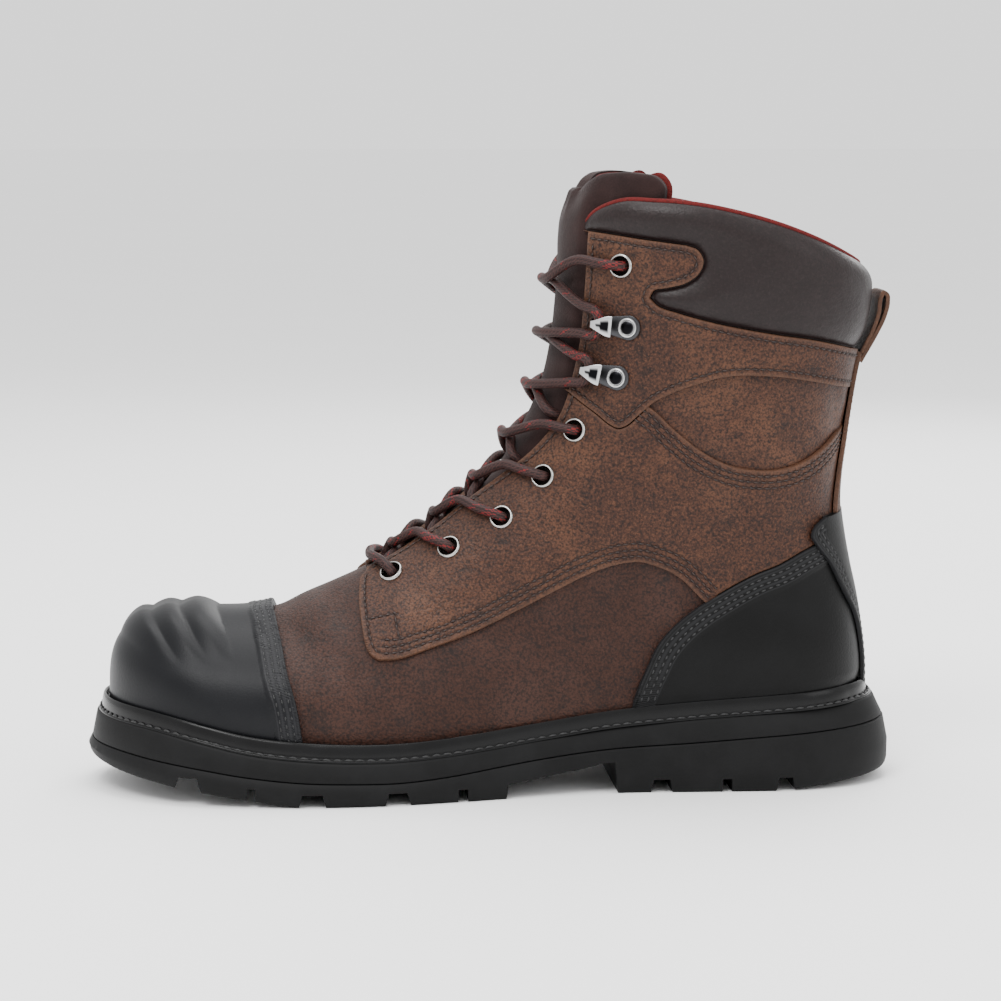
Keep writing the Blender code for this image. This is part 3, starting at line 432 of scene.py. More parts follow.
# Creases that walking leaves, as side-view ends x, z, then half width, depth
CREASES = (
    ((-79.0, 66.0), (-66.0, 50.0), 4.5, 0.55),
    ((-68.0, 70.0), (-58.0, 52.0), 5.0, -0.45),
    ((-60.0, 46.0), (-28.0, 44.0), 6.0, 0.45),
    ((-20.0, 45.0), (20.0, 56.0), 8.0, 0.55),
    ((-24.0, 66.0), (6.0, 84.0), 6.0, 0.5),
    ((12.0, 100.0), (52.0, 104.0), 8.0, 0.7),
    ((20.0, 114.0), (66.0, 122.0), 7.0, 0.6),
    ((70.0, 104.0), (112.0, 108.0), 9.0, 0.6),
    ((36.0, 128.0), (58.0, 138.0), 6.0, 0.5),
    ((70.0, 168.0), (120.0, 166.0), 8.0, 0.35),
)
# The last's grid: steps round it, and steps of a millimetre up its front line
TURN_STEPS = 360
LENGTH_STEPS = 320


def crease_depth(points):
    """How far the creases press the leather in, in millimetres."""
    x = points[..., 0]
    z = points[..., 2]
    depth = np.zeros_like(x)
    for (x0, z0), (x1, z1), half, deep in CREASES:
        run = (x1 - x0) ** 2 + (z1 - z0) ** 2
        share = ((x - x0) * (x1 - x0) + (z - z0) * (z1 - z0)) / run
        inside = np.clip(share, 0, 1)
        away = np.hypot(x - x0 - inside * (x1 - x0), z - z0 - inside * (z1 - z0))
        depth += deep * np.exp(-((away / half) ** 2)) * (0.6 + 0.4 * np.sin(math.pi * inside))
    return depth


def lattice_normals(grid):
    """Outward directions of the closed grid of points, turns by lengths."""
    round_way = np.roll(grid, -1, axis=0) - np.roll(grid, 1, axis=0)
    up_way = np.gradient(grid, axis=1)
    out = np.cross(round_way, up_way)
    return out / np.linalg.norm(out, axis=-1, keepdims=True)


def last_lattice():
    """The last as a fine closed grid, creased, with its outward directions."""
    turns = -math.pi + np.arange(TURN_STEPS) * 2 * math.pi / TURN_STEPS
    turn, length = np.meshgrid(turns, np.linspace(0.0, LENGTH_STEPS, LENGTH_STEPS + 1), indexing="ij")
    grid = last_point(turn, length)
    for _ in range(3):
        grid = (np.roll(grid, 1, axis=0) + 2 * grid + np.roll(grid, -1, axis=0)) / 4
        grid[:, 1:-1] = (grid[:, :-2] + 2 * grid[:, 1:-1] + grid[:, 2:]) / 4
    out = lattice_normals(grid)
    grid = grid - out * crease_depth(grid)[..., None]
    return grid, lattice_normals(grid)


LATTICE, LATTICE_OUT = last_lattice()


def read_lattice(grid, chart):
    """Smooth reading of a lattice at chart points: turn, length."""
    u = (chart[:, 0] + math.pi) / (2 * math.pi) * TURN_STEPS
    v = np.clip(chart[:, 1], 0.0, LENGTH_STEPS - 1e-6)
    i = np.floor(u).astype(int)
    j = np.floor(v).astype(int)
    weights = []
    for t in (u - i, v - j):
        weights.append((
            (-t + 2 * t**2 - t**3) / 2,
            (2 - 5 * t**2 + 3 * t**3) / 2,
            (t + 4 * t**2 - 3 * t**3) / 2,
            (t**3 - t**2) / 2,
        ))
    total = np.zeros((len(chart), 3))
    for a in range(4):
        for b in range(4):
            value = grid[(i + a - 1) % TURN_STEPS, np.clip(j + b - 1, 0, LENGTH_STEPS)]
            total += value * (weights[0][a] * weights[1][b])[:, None]
    return total


def spot(chart, height=0.0):
    """Points over the last at chart points and heights."""
    height = np.asarray(height, float)
    if height.ndim:
        height = height[:, None]
    return read_lattice(LATTICE, chart) + facing(chart) * height


def facing(chart):
    """Outward directions at chart points."""
    out = read_lattice(LATTICE_OUT, chart)
    return out / np.linalg.norm(out, axis=1, keepdims=True)


def chart_steps(chart):
    """How a point of the last moves with turn and with length."""
    step = np.array([0.01, 0.0])
    rise = np.array([0.0, 0.5])
    by_turn = (read_lattice(LATTICE, chart + step) - read_lattice(LATTICE, chart - step)) / 0.02
    by_length = read_lattice(LATTICE, chart + rise) - read_lattice(LATTICE, chart - rise)
    return by_turn, by_length


def chart_move(chart, ways):
    """Chart points moved by small steps given in space."""
    a, b = chart_steps(chart)
    aa = (a * a).sum(axis=1)
    bb = (b * b).sum(axis=1)
    ab = (a * b).sum(axis=1)
    wa = (ways * a).sum(axis=1)
    wb = (ways * b).sum(axis=1)
    scale = aa * bb - ab * ab
    return chart + np.stack(((wa * bb - wb * ab) / scale, (wb * aa - wa * ab) / scale), axis=1)


def on_side(points, side, column=2):
    """Chart points of side-view points x, z; column 1 reads y, z on the back instead."""
    first = 0 if column == 2 else 1
    half = TURN_STEPS // 2
    rows = np.arange(half, TURN_STEPS + 1) % TURN_STEPS if side == LATERAL else np.arange(0, half + 1)
    if first:
        rows = rows[rows % TURN_STEPS != half]
        far = np.abs(rows - half if side == MEDIAL else np.where(rows == 0, TURN_STEPS, rows) - half)
        rows = rows[far > half * 0.55]
    part = LATTICE[rows]
    found = []
    for a, b in points:
        row, column_at = np.unravel_index(
            np.hypot(part[..., first] - a, part[..., 2] - b).argmin(), part.shape[:2]
        )
        turn = -math.pi + rows[row] * 2 * math.pi / TURN_STEPS
        if side == LATERAL and rows[row] == 0:
            turn = math.pi
        found.append((turn, float(column_at)))
    found = np.array(found)
    targets = np.array(points, float)
    low, high = (0.02, math.pi) if side == LATERAL else (-math.pi, -0.02)
    for _ in range(8):
        here = read_lattice(LATTICE, found)[:, [first, 2]]
        by_turn, by_length = chart_steps(found)
        a = by_turn[:, [first, 2]]
        b = by_length[:, [first, 2]]
        miss = targets - here
        scale = a[:, 0] * b[:, 1] - a[:, 1] * b[:, 0]
        scale = np.where(np.abs(scale) < 4.0, 4.0 * np.sign(scale + 1e-9), scale)
        turn_by = (miss[:, 0] * b[:, 1] - miss[:, 1] * b[:, 0]) / scale
        length_by = (miss[:, 1] * a[:, 0] - miss[:, 0] * a[:, 1]) / scale
        found = found + np.stack((np.clip(turn_by, -0.05, 0.05), np.clip(length_by, -3, 3)), axis=1)
        found[:, 0] = np.clip(found[:, 0], low, high)
        found[:, 1] = np.clip(found[:, 1], 0.0, LENGTH_STEPS)
    return found


def even(line, step=1.0):
    """A chart line cut into even steps, measured on the last."""
    space = spot(line)
    run = run_along(space)
    keep = np.concatenate(([True], np.diff(run) > 1e-6))
    at = np.linspace(0.0, run[-1], max(2, int(round(run[-1] / step)) + 1))
    return np.stack([np.interp(at, run[keep], line[keep, k]) for k in (0, 1)], axis=1)


def smooth_line(points, step=1.0):
    """Side-view or back-view points joined by a smooth curve."""
    points = np.array(points, float)
    run = run_along(points)
    at = np.linspace(0.0, run[-1], max(3, int(run[-1] / step) + 1))
    return np.stack([curve(list(zip(run, points[:, k])))(at) for k in (0, 1)], axis=1)


def side_line(points, side):
    """A smooth side-view line as even chart points."""
    return even(on_side(smooth_line(points), side))


def back_line(points, side):
    """A smooth back-view line, of half widths and heights, as even chart points round the back."""
    line = smooth_line(points)
    found = on_side(np.stack((line[:, 0] * side, line[:, 1]), axis=1), side, column=1)
    if side == MEDIAL:
        found[:, 0] += 2 * math.pi
    return even(found)


def joined(*lines):
    """Chart lines joined end to end, without doubled points."""
    points = np.concatenate(lines)
    space = spot(points)
    keep = np.concatenate(([True], np.linalg.norm(np.diff(space, axis=0), axis=1) > 0.25))
    points = points[keep]
    if np.linalg.norm(space[keep][0] - space[keep][-1]) < 0.25:
        points = points[:-1]
    return points


def inset_line(line, distance, closed=False):
    """A chart line moved across the last by a distance, to its left as seen from outside."""
    space = spot(line)
    if closed:
        way = np.roll(space, -1, axis=0) - np.roll(space, 1, axis=0)
    else:
        way = np.gradient(space, axis=0)
    across = np.cross(facing(line), way)
    across /= np.linalg.norm(across, axis=1, keepdims=True)
    return chart_move(line, across * np.reshape(distance, (-1, 1)))


def trimmed(line, start, end):
    """A chart line without its first and last millimetres."""
    line = even(line, 0.5)
    first = int(round(start / 0.5))
    last = len(line) - int(round(end / 0.5))
    return line[first:last]


def in_outline(points, loop):
    """Which flat points are inside a closed loop."""
    x, y = points[:, 0], points[:, 1]
    inside = np.zeros(len(points), bool)
    x0, y0 = loop[:, 0], loop[:, 1]
    x1, y1 = np.roll(x0, -1), np.roll(y0, -1)
    for start in range(0, len(points), 8000):
        part = slice(start, start + 8000)
        crosses = (y0[None, :] > y[part, None]) != (y1[None, :] > y[part, None])
        with np.errstate(divide="ignore", invalid="ignore"):
            at = (x1 - x0)[None, :] * (y[part, None] - y0[None, :]) / (y1 - y0)[None, :] + x0[None, :]
        inside[part] = (np.sum(crosses & (x[part, None] < at), axis=1) % 2) == 1
    return inside


# Turns scaled to about millimetres, so that triangles on the chart are even
FLAT = np.array([80.0, 1.0])


def field(loop, spacing):
    """Chart points in staggered rows, evenly spaced on the last, inside a loop."""
    low = loop.min(axis=0)
    high = loop.max(axis=0)
    rows = []
    turns = np.linspace(low[0], high[0], 240)
    lengths = np.arange(max(low[1], 0.0) + spacing * 0.5, min(high[1], LENGTH_STEPS), spacing * 0.87)
    for number, length in enumerate(lengths):
        row = np.stack((turns, np.full(240, length)), axis=1)
        space = read_lattice(LATTICE, row)
        run = run_along(space)
        at = np.arange(spacing * (0.5 if number % 2 else 1.0), run[-1], spacing)
        rows.append(np.stack((np.interp(at, run, turns), np.full(len(at), length)), axis=1))
    points = np.concatenate(rows)
    return points[in_outline(points * FLAT, loop * FLAT)]


def near_tree(points):
    """A search tree of points in space."""
    tree = KDTree(len(points))
    for index, point in enumerate(points):
        tree.insert(point, index)
    tree.balance()
    return tree


def distances(points, lines):
    """Distance from each point to the nearest point of some lines in space."""
    if not len(lines):
        return np.full(len(points), 99.0)
    tree = near_tree(np.concatenate(lines))
    return np.array([tree.find(point)[2] for point in points])


# Meshes
# A mark's value away from any edge or seam
FAR = 20.0
PIECES = bpy.data.collections.new("boot_pieces")
bpy.context.scene.collection.children.link(PIECES)


def lone(thing):
    """Makes one object the only selected and active one."""
    bpy.ops.object.select_all(action="DESELECT")
    thing.select_set(True)
    bpy.context.view_layer.objects.active = thing


def make_piece(name, points, faces, **marks):
    """A mesh object from points in millimetres."""
    mesh = bpy.data.meshes.new(name)
    mesh.from_pydata(np.asarray(points) * MM, [], faces)
    thing = bpy.data.objects.new(name, mesh)
    set_marks(thing, **marks)
    PIECES.objects.link(thing)
    return thing


def set_marks(thing, **marks):
    """Writes values on a mesh's points for its material to read."""
    for name, values in marks.items():
        attribute = thing.data.attributes.new(name, "FLOAT", "POINT")
        attribute.data.foreach_set("value", np.asarray(values, np.float32))


def apply_modifier(thing, kind, **settings):
    """Adds a modifier with its settings and applies it."""
    lone(thing)
    modifier = thing.modifiers.new(kind.lower(), kind)
    for key, value in settings.items():
        setattr(modifier, key, value)
    bpy.ops.object.modifier_apply(modifier=modifier.name)


def dress(thing, look, slot, *nodes, angle=40.0):
    """Smooths a piece, gives it its finish and body and hides the solids that it stands for; the slot is not
    used.
    """
    lone(thing)
    bpy.ops.object.shade_smooth_by_angle(angle=math.radians(angle))
    thing.data.materials.clear()
    thing.data.materials.append(finish(look))
    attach(thing, "root")
    if nodes:
        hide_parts(*nodes)
    return thing


def triangles(points, loops):
    """Triangles between flat points inside the first loop and outside the others."""
    corners = [Vector(p) for loop in loops for p in loop]
    edges = []
    start = 0
    for loop in loops:
        count = len(loop)
        edges += [(start + i, start + (i + 1) % count) for i in range(count)]
        start += count
    corners += [Vector(p) for p in points]
    made, _, faces, _, _, _ = delaunay_2d_cdt(corners, edges, [], 0, 1e-7)
    made = np.array([tuple(v) for v in made])
    faces = np.array(faces)
    centre = made[faces].mean(axis=1)
    keep = in_outline(centre, loops[0])
    for loop in loops[1:]:
        keep &= ~in_outline(centre, loop)
    return made, faces[keep]


def drop_at_edge(distance, radius):
    """How far a rounded edge falls at a distance from the outline."""
    t = np.clip(1 - distance / radius, 0, 1)
    return radius * (1 - np.sqrt(1 - t * t))


def wound(loop, left=True):
    """A closed chart loop turned so that the panel is on its left, or on its right for a hole."""
    flat = loop * FLAT
    area = np.sum(flat[:, 0] * np.roll(flat[:, 1], -1) - np.roll(flat[:, 0], -1) * flat[:, 1])
    return loop if (area > 0) == left else loop[::-1]


def panel(name, loop, heights, spacing=1.4, holes=(), seams=(), relief=None, edge=0.5, groove=0.3):
    """A closed panel of leather over the last, with a rounded cut edge, holes and pressed-in seams."""
    low, high = heights
    loops = [wound(loop)] + [wound(hole, left=False) for hole in holes]
    edges = [spot(part) for part in loops]
    rows = []
    for part in loops:
        for inset in (0.15, 0.5):
            ring = inset_line(part, inset, closed=True)
            rows.append(ring[distances(spot(ring), edges) > inset * 0.8])
    seam_space = [spot(seam) for seam in seams]
    for seam in seams:
        for shift in (-0.9, -0.45, 0.0, 0.45, 0.9):
            row = inset_line(seam, shift)
            rows.append(row[distances(spot(row), edges) > 0.65])
    inner = field(loops[0], spacing)
    space = spot(inner)
    off_edge = distances(space, edges) > 0.5 + 0.55 * spacing
    off_seam = distances(space, seam_space) > 0.9 + 0.5 * spacing
    rows.append(inner[off_edge & off_seam])
    flat_loops = [part * FLAT for part in loops]
    rows = np.concatenate(rows) * FLAT
    rows = rows[in_outline(rows, flat_loops[0])]
    made, faces = triangles(rows, flat_loops)
    chart = made / FLAT
    space = spot(chart)
    edge_far = distances(space, edges)
    seam_far = distances(space, seam_space)
    height = high - drop_at_edge(edge_far, edge) - groove * np.exp(-((seam_far / 0.5) ** 2))
    if relief is not None:
        height = height + relief(space, chart)
    top = space + facing(chart) * height[:, None]
    # The wall and the back share the outline
    pairs = np.concatenate((faces[:, [0, 1]], faces[:, [1, 2]], faces[:, [2, 0]]))
    code = pairs[:, 0].astype(np.int64) * len(made) + pairs[:, 1]
    back_code = pairs[:, 1].astype(np.int64) * len(made) + pairs[:, 0]
    rim = pairs[~np.isin(code, back_code)]
    under, under_faces = triangles(field(loops[0], 7.0) * FLAT, flat_loops)
    under_tree = near_tree([(x, y, 0.0) for x, y in under])
    count = len(made)
    twin = {int(v): count + under_tree.find((*made[v], 0.0))[1] for v in np.unique(rim)}
    walls = [(int(b), int(a), twin[int(a)], twin[int(b)]) for a, b in rim]
    points = np.concatenate((top, spot(under / FLAT, low)))
    all_faces = faces.tolist() + (under_faces[:, ::-1] + count).tolist() + walls
    edge_marks = np.concatenate((np.minimum(edge_far, FAR), np.zeros(len(under))))
    seam_marks = np.concatenate((np.minimum(seam_far, FAR), np.full(len(under), FAR)))
    return make_piece(name, points, all_faces, edge=edge_marks, seam=seam_marks)


def stitch_shape(length, thick):
    """One stitch: a drawn-out bead whose ends dip into the leather."""
    bpy.ops.mesh.primitive_uv_sphere_add(segments=6, ring_count=6, radius=0.5)
    pattern = bpy.context.object
    shape = np.array([tuple(v.co) for v in pattern.data.vertices])
    shape = np.stack((shape[:, 2] * length, shape[:, 0] * thick, shape[:, 1] * thick), axis=1)
    shape[:, 2] -= 0.25 * (shape[:, 0] / length * 2) ** 2
    faces = [tuple(face.vertices) for face in pattern.data.polygons]
    bpy.data.objects.remove(pattern)
    return shape, faces


def sewn(name, places, look, slot, length, thick):
    """Thread made of one modelled stitch, copied to places: a point, and the ways along, across and out."""
    shape, shape_faces = stitch_shape(length, thick)
    points = []
    faces = []
    for at, way, across, out in places:
        faces += [tuple(v + len(shape) * len(points) for v in face) for face in shape_faces]
        points.append(at + shape[:, :1] * way + shape[:, 1:2] * across + shape[:, 2:] * out)
    return dress(make_piece(name, np.concatenate(points), faces), look, slot, angle=180.0)


def stitches(name, rows, look, slot, length, thick):
    """Rows of sewn thread: each is a chart line and its height."""
    pitch = size("stitch")
    places = []
    for line, height in rows:
        line = even(line, pitch / 4)[2::4]
        if len(line) < 3:
            continue
        at = spot(line, height)
        out = facing(line)
        way = np.gradient(at, axis=0)
        way -= out * (way * out).sum(axis=1)[:, None]
        way /= np.linalg.norm(way, axis=1, keepdims=True)
        places += zip(at, way, np.cross(out, way), out)
    return sewn(name, places, look, slot, length, thick)


def stitches_round(name, path, look, slot, thick, pitch=4.2, length=3.3):
    """Thread along a closed path in space, lying flat."""
    closed = np.vstack((path, path[:1]))
    run = run_along(closed)
    at = np.arange(0.0, run[-1] - pitch / 2, pitch)
    spots = np.stack([np.interp(at, run, closed[:, k]) for k in range(3)], axis=1)
    ways = np.roll(spots, -1, axis=0) - np.roll(spots, 1, axis=0)
    ways /= np.linalg.norm(ways, axis=1, keepdims=True)
    places = []
    for at, way in zip(spots, ways):
        across = np.cross((0.0, 0.0, 1.0), way)
        across /= np.linalg.norm(across)
        places.append((at, way, across, np.cross(way, across)))
    return sewn(name, places, look, slot, length, thick)


def ring_faces(rings, count, closed=False):
    """Faces between rings of points, and from the last ring to the first where closed."""
    faces = []
    for r in range(rings if closed else rings - 1):
        n = (r + 1) % rings
        for j in range(count):
            k = (j + 1) % count
            faces.append((r * count + j, r * count + k, n * count + k, n * count + j))
    return faces


def sweep(name, path, sides, radius, shape=None):
    """A closed tube along points, with an even frame, and its length and angle at each vertex."""
    way = np.gradient(path, axis=0)
    way /= np.linalg.norm(way, axis=1, keepdims=True)
    side = np.cross(way[0], (0.0, 0.0, 1.0) if abs(way[0][2]) < 0.9 else (1.0, 0.0, 0.0))
    frames = []
    for direction in way:
        side = side - direction * (side @ direction)
        side = side / np.linalg.norm(side)
        frames.append((side, np.cross(direction, side)))
    angle = np.arange(sides) * 2 * math.pi / sides
    run = run_along(path)
    points = []
    for index, (a, b) in enumerate(frames):
        reach = radius if shape is None else radius * shape(run[index], angle)
        reach = np.reshape(reach * np.ones(sides), (-1, 1))
        points.append(path[index] + reach * (np.cos(angle)[:, None] * a + np.sin(angle)[:, None] * b))
    points = np.concatenate(points)
    rings = len(path)
    faces = ring_faces(rings, sides)
    faces.append(tuple(range(sides))[::-1])
    faces.append(tuple((rings - 1) * sides + j for j in range(sides)))
    return make_piece(name, points, faces, along=np.repeat(run, sides), round=np.tile(angle, rings))


# Materials
class Wire:
    """A node's output that takes part in Python arithmetic: an expression adds its Math nodes."""

    def __init__(self, finish, output):
        self.finish = finish
        self.output = output

    def maths(self, operation, *values):
        return self.finish.node("Math", {"operation": operation}, values)

    def __add__(self, other):
        return self.maths("ADD", self, other)

    def __radd__(self, other):
        return self.maths("ADD", other, self)

    def __sub__(self, other):
        return self.maths("SUBTRACT", self, other)

    def __rsub__(self, other):
        return self.maths("SUBTRACT", other, self)

    def __mul__(self, other):
        return self.maths("MULTIPLY", self, other)

    def __rmul__(self, other):
        return self.maths("MULTIPLY", other, self)

    def between(self, low, high):
        """0 below low, 1 above high and a smooth step between; low may be the larger."""
        settings = {"interpolation_type": "SMOOTHSTEP"}
        if low < high:
            return self.finish.node("MapRange", settings, {"Value": self, "From Min": low, "From Max": high})
        values = {"Value": self, "From Min": high, "From Max": low, "To Min": 1.0, "To Max": 0.0}
        return self.finish.node("MapRange", settings, values)


class Finish:
    """A material under way: a shader and the nodes that feed it."""

    def __init__(self, name, roughness=0.5, **uniform):
        self.material = bpy.data.materials.new(name)
        self.material.use_nodes = True
        self.tree = self.material.node_tree
        self.shader = self.tree.nodes["Principled BSDF"]
        self.shader.inputs["Roughness"].default_value = roughness
        for key, value in uniform.items():
            self.shader.inputs[key.replace("_", " ")].default_value = value

    def node(self, kind, settings=None, values=None, out=0):
        """Adds a node: its settings first, then the values or links of its sockets."""
        made = self.tree.nodes.new("ShaderNode" + kind)
        for key, value in (settings or {}).items():
            setattr(made, key, value)
        for key, value in values.items() if isinstance(values, dict) else enumerate(values or ()):
            if isinstance(value, Wire):
                self.tree.links.new(value.output, made.inputs[key])
            else:
                made.inputs[key].default_value = value
        return Wire(self, made.outputs[out])

    def feed(self, **wires):
        """Links wires to the shader's sockets."""
        for key, wire in wires.items():
            self.tree.links.new(wire.output, self.shader.inputs[key.replace("_", " ")])
        return self.material

    def place(self):
        return self.node("TexCoord", out="Object")

    def noise(self, scale, detail=3.0, rough=0.55, place=None, distortion=0.0):
        """Cloudy noise: scale is the size of its features in millimetres."""
        values = {
            "Vector": place or self.place(),
            "Scale": 1000.0 / scale,
            "Detail": detail,
            "Roughness": rough,
            "Distortion": distortion,
        }
        return self.node("TexNoise", None, values)

    def cells(self, scale, feature="F1"):
        """Pebbly cells of a size in millimetres."""
        values = {"Vector": self.place(), "Scale": 1000.0 / scale}
        if feature == "SMOOTH_F1":
            values["Smoothness"] = 0.6
        return self.node("TexVoronoi", {"feature": feature}, values)

    def stretched(self, scale, turn=(0.0, 0.0, 0.0)):
        """Object coordinates scaled and turned about the boot's own axes."""
        return self.node("Mapping", None, {"Vector": self.place(), "Scale": scale, "Rotation": turn})

    def mark(self, name):
        """A value that the piece's mesh carries."""
        return self.node("Attribute", {"attribute_name": name}, out="Fac")

    def mix(self, share, first, second):
        """A colour between two colours."""
        first = first if isinstance(first, Wire) else (*first, 1.0)
        second = second if isinstance(second, Wire) else (*second, 1.0)
        return self.node("Mix", {"data_type": "RGBA"}, {0: share, 6: first, 7: second}, out=2)

    def bump(self, height, depth, under=None):
        """A surface pressed by a height pattern, depth in millimetres."""
        values = {"Height": height, "Distance": depth * MM, "Strength": 1.0}
        if under:
            values["Normal"] = under
        return self.node("Bump", None, values)


def pull_up_leather(
    name, colours, grain=0.85, grain_depth=0.2, gloss=0.44, patches=1.0, cut=(0.085, 0.040, 0.022)
):
    """Oiled leather that lightens where it is pulled: mottled, pebbled, with painted shade in its seams."""
    base, light, dark = colours
    f = Finish(name, Specular_IOR_Level=0.22)
    clouds = f.noise(38.0, 4.0, 0.6, distortion=0.6)
    small = f.noise(9.0, 5.0, 0.65, distortion=0.4)
    fine = f.noise(1.0, 4.0, 0.7)
    lines = f.noise(5.0, 4.0, 0.65, f.stretched((1.0, 1.0, 5.0), (0.0, 0.7, 0.0)))
    pebbles = f.cells(grain, "SMOOTH_F1")
    colour = f.mix(clouds.between(0.44, 0.66) * (0.75 * patches), base, light)
    colour = f.mix(small.between(0.52, 0.72) * 0.55, colour, light)
    colour = f.mix(small.between(0.46, 0.28) * 0.75, colour, dark)
    colour = f.mix(lines.between(0.58, 0.72) * 0.35, colour, light)
    colour = f.mix(pebbles.between(0.35, 0.8) * 0.65, colour, dark)
    colour = f.mix(fine.between(0.52, 0.62) * 0.8, colour, dark)
    colour = f.mix(fine.between(0.46, 0.36) * 0.7, colour, light)
    # Painted shade: the deep colour laid in the seams' grooves
    colour = f.mix(f.mark("seam").between(0.75, 0.1) * 0.7, colour, dark)
    colour = f.mix(f.mark("edge").between(1.6, 0.1) * 0.5, colour, cut)
    rough = gloss + 0.16 * small - 0.1 * clouds.between(0.4, 0.7) + 0.1 * pebbles
    height = 0.55 * fine + 0.5 * lines - pebbles
    soft = f.bump(small, 0.5)
    return f.feed(Base_Color=colour, Roughness=rough, Normal=f.bump(height, grain_depth, soft))


def black_leather(name, base, light, gloss, grain=0.9, depth=0.06, shine=0.12):
    """Coated black leather with a satin face, worn light at its cut edges, with painted highlight on the
    raised strips beside its seams.
    """
    f = Finish(name, Specular_IOR_Level=shine)
    clouds = f.noise(22.0, 3.0)
    fine = f.noise(1.3, 4.0, 0.6)
    pebbles = f.cells(grain, "SMOOTH_F1")
    colour = f.mix(clouds.between(0.35, 0.7) * 0.6, base, light)
    # worn is grey for wear at the cut edges and for painted highlight on the raised strips beside the seams
    worn = (0.026, 0.026, 0.028)
    colour = f.mix(f.mark("edge").between(1.2, 0.2) * 0.35, colour, worn)
    # Painted highlight along the raised strips between the seams
    colour = f.mix(f.mark("seam").between(1.3, 0.9) * f.mark("seam").between(0.4, 0.8) * 0.35, colour, worn)
    rough = gloss + 0.10 * clouds + 0.08 * fine
    return f.feed(Base_Color=colour, Roughness=rough, Normal=f.bump(fine - 0.8 * pebbles, depth))


def suede(name, base, light):
    """Brushed leather with a short nap."""
    f = Finish(name, 0.9, Sheen_Weight=0.06, Sheen_Roughness=0.45, Specular_IOR_Level=0.2)
    clouds = f.noise(14.0, 4.0, 0.6)
    nap = f.noise(0.8, 5.0, 0.7)
    colour = f.mix(clouds.between(0.35, 0.7) * 0.7, base, light)
    colour = f.mix(nap.between(0.45, 0.7) * 0.5, colour, light)
    return f.feed(Base_Color=colour, Normal=f.bump(nap, 0.25))


def cloth(name, base, light, weave=0.9):
    """A fine woven lining."""
    f = Finish(name, 0.85, Specular_IOR_Level=0.2)
    knots = f.cells(weave)
    colour = f.mix(knots.between(0.1, 0.6), light, base)
    return f.feed(Base_Color=colour, Normal=f.bump(1.0 - knots, 0.2))


def rubber(name, base, light, rough, depth=0.05, shine=0.14):
    """Moulded rubber with a faint mottle."""
    f = Finish(name, Specular_IOR_Level=shine)
    clouds = f.noise(16.0, 4.0)
    fine = f.noise(0.9, 4.0, 0.6)
    colour = f.mix(clouds.between(0.35, 0.7), base, light)
    rough = rough + 0.12 * clouds + 0.08 * fine
    return f.feed(Base_Color=colour, Roughness=rough, Normal=f.bump(fine, depth))


def thread_finish(name, base, light):
    """Waxed twisted thread."""
    f = Finish(name, 0.5, Specular_IOR_Level=0.4)
    twist = f.noise(0.7, 3.0)
    return f.feed(Base_Color=f.mix(twist.between(0.35, 0.65), base, light), Normal=f.bump(twist, 0.1))


def braid(name, base, light, fleck):
    """Round braided lace: the mesh carries the strands, and which of them are flecks; painted shade darkens
    the gaps between the strands.
    """
    f = Finish(name, 0.62, Specular_IOR_Level=0.25)
    fibres = f.noise(0.5, 4.0, 0.7)
    colour = f.mix(f.mark("over") * fibres.between(0.2, 0.6), base, light)
    # Painted shade in the gaps between the strands
    colour = f.mix(f.mark("valley").between(0.92, 0.55) * 0.8, colour, (0.003, 0.0015, 0.0015))
    colour = f.mix(f.mark("fleck").between(0.45, 0.6), colour, fleck)
    return f.feed(Base_Color=colour, Normal=f.bump(fibres, 0.12))


def metal(name, base, rough, worn=0.1):
    """Plated metal, a little scuffed, with painted highlight on its rims and painted shade in its hollows."""
    f = Finish(name, Metallic=1.0)
    scuffs = f.noise(1.6, 5.0, 0.7)
    dark = tuple(c * 0.6 for c in base)
    colour = f.mix(scuffs.between(0.5, 0.75), base, dark)
    # Painted highlight on the rims that a piece marks
    colour = f.mix(f.mark("rim"), colour, (0.50, 0.50, 0.50))
    # Painted shade in the hollows that a piece marks
    colour = f.mix(f.mark("hollow"), colour, (0.006, 0.006, 0.007))
    return f.feed(Base_Color=colour, Roughness=rough + worn * scuffs, Normal=f.bump(scuffs, 0.02))


def floor_finish():
    f = Finish("pale_floor", 0.7)
    clouds = f.noise(300.0, 2.0)
    colour = f.mix(clouds.between(0.3, 0.7), (0.95, 0.95, 0.95), (0.96, 0.96, 0.96))
    return f.feed(Base_Color=colour)


FINISHES = {}


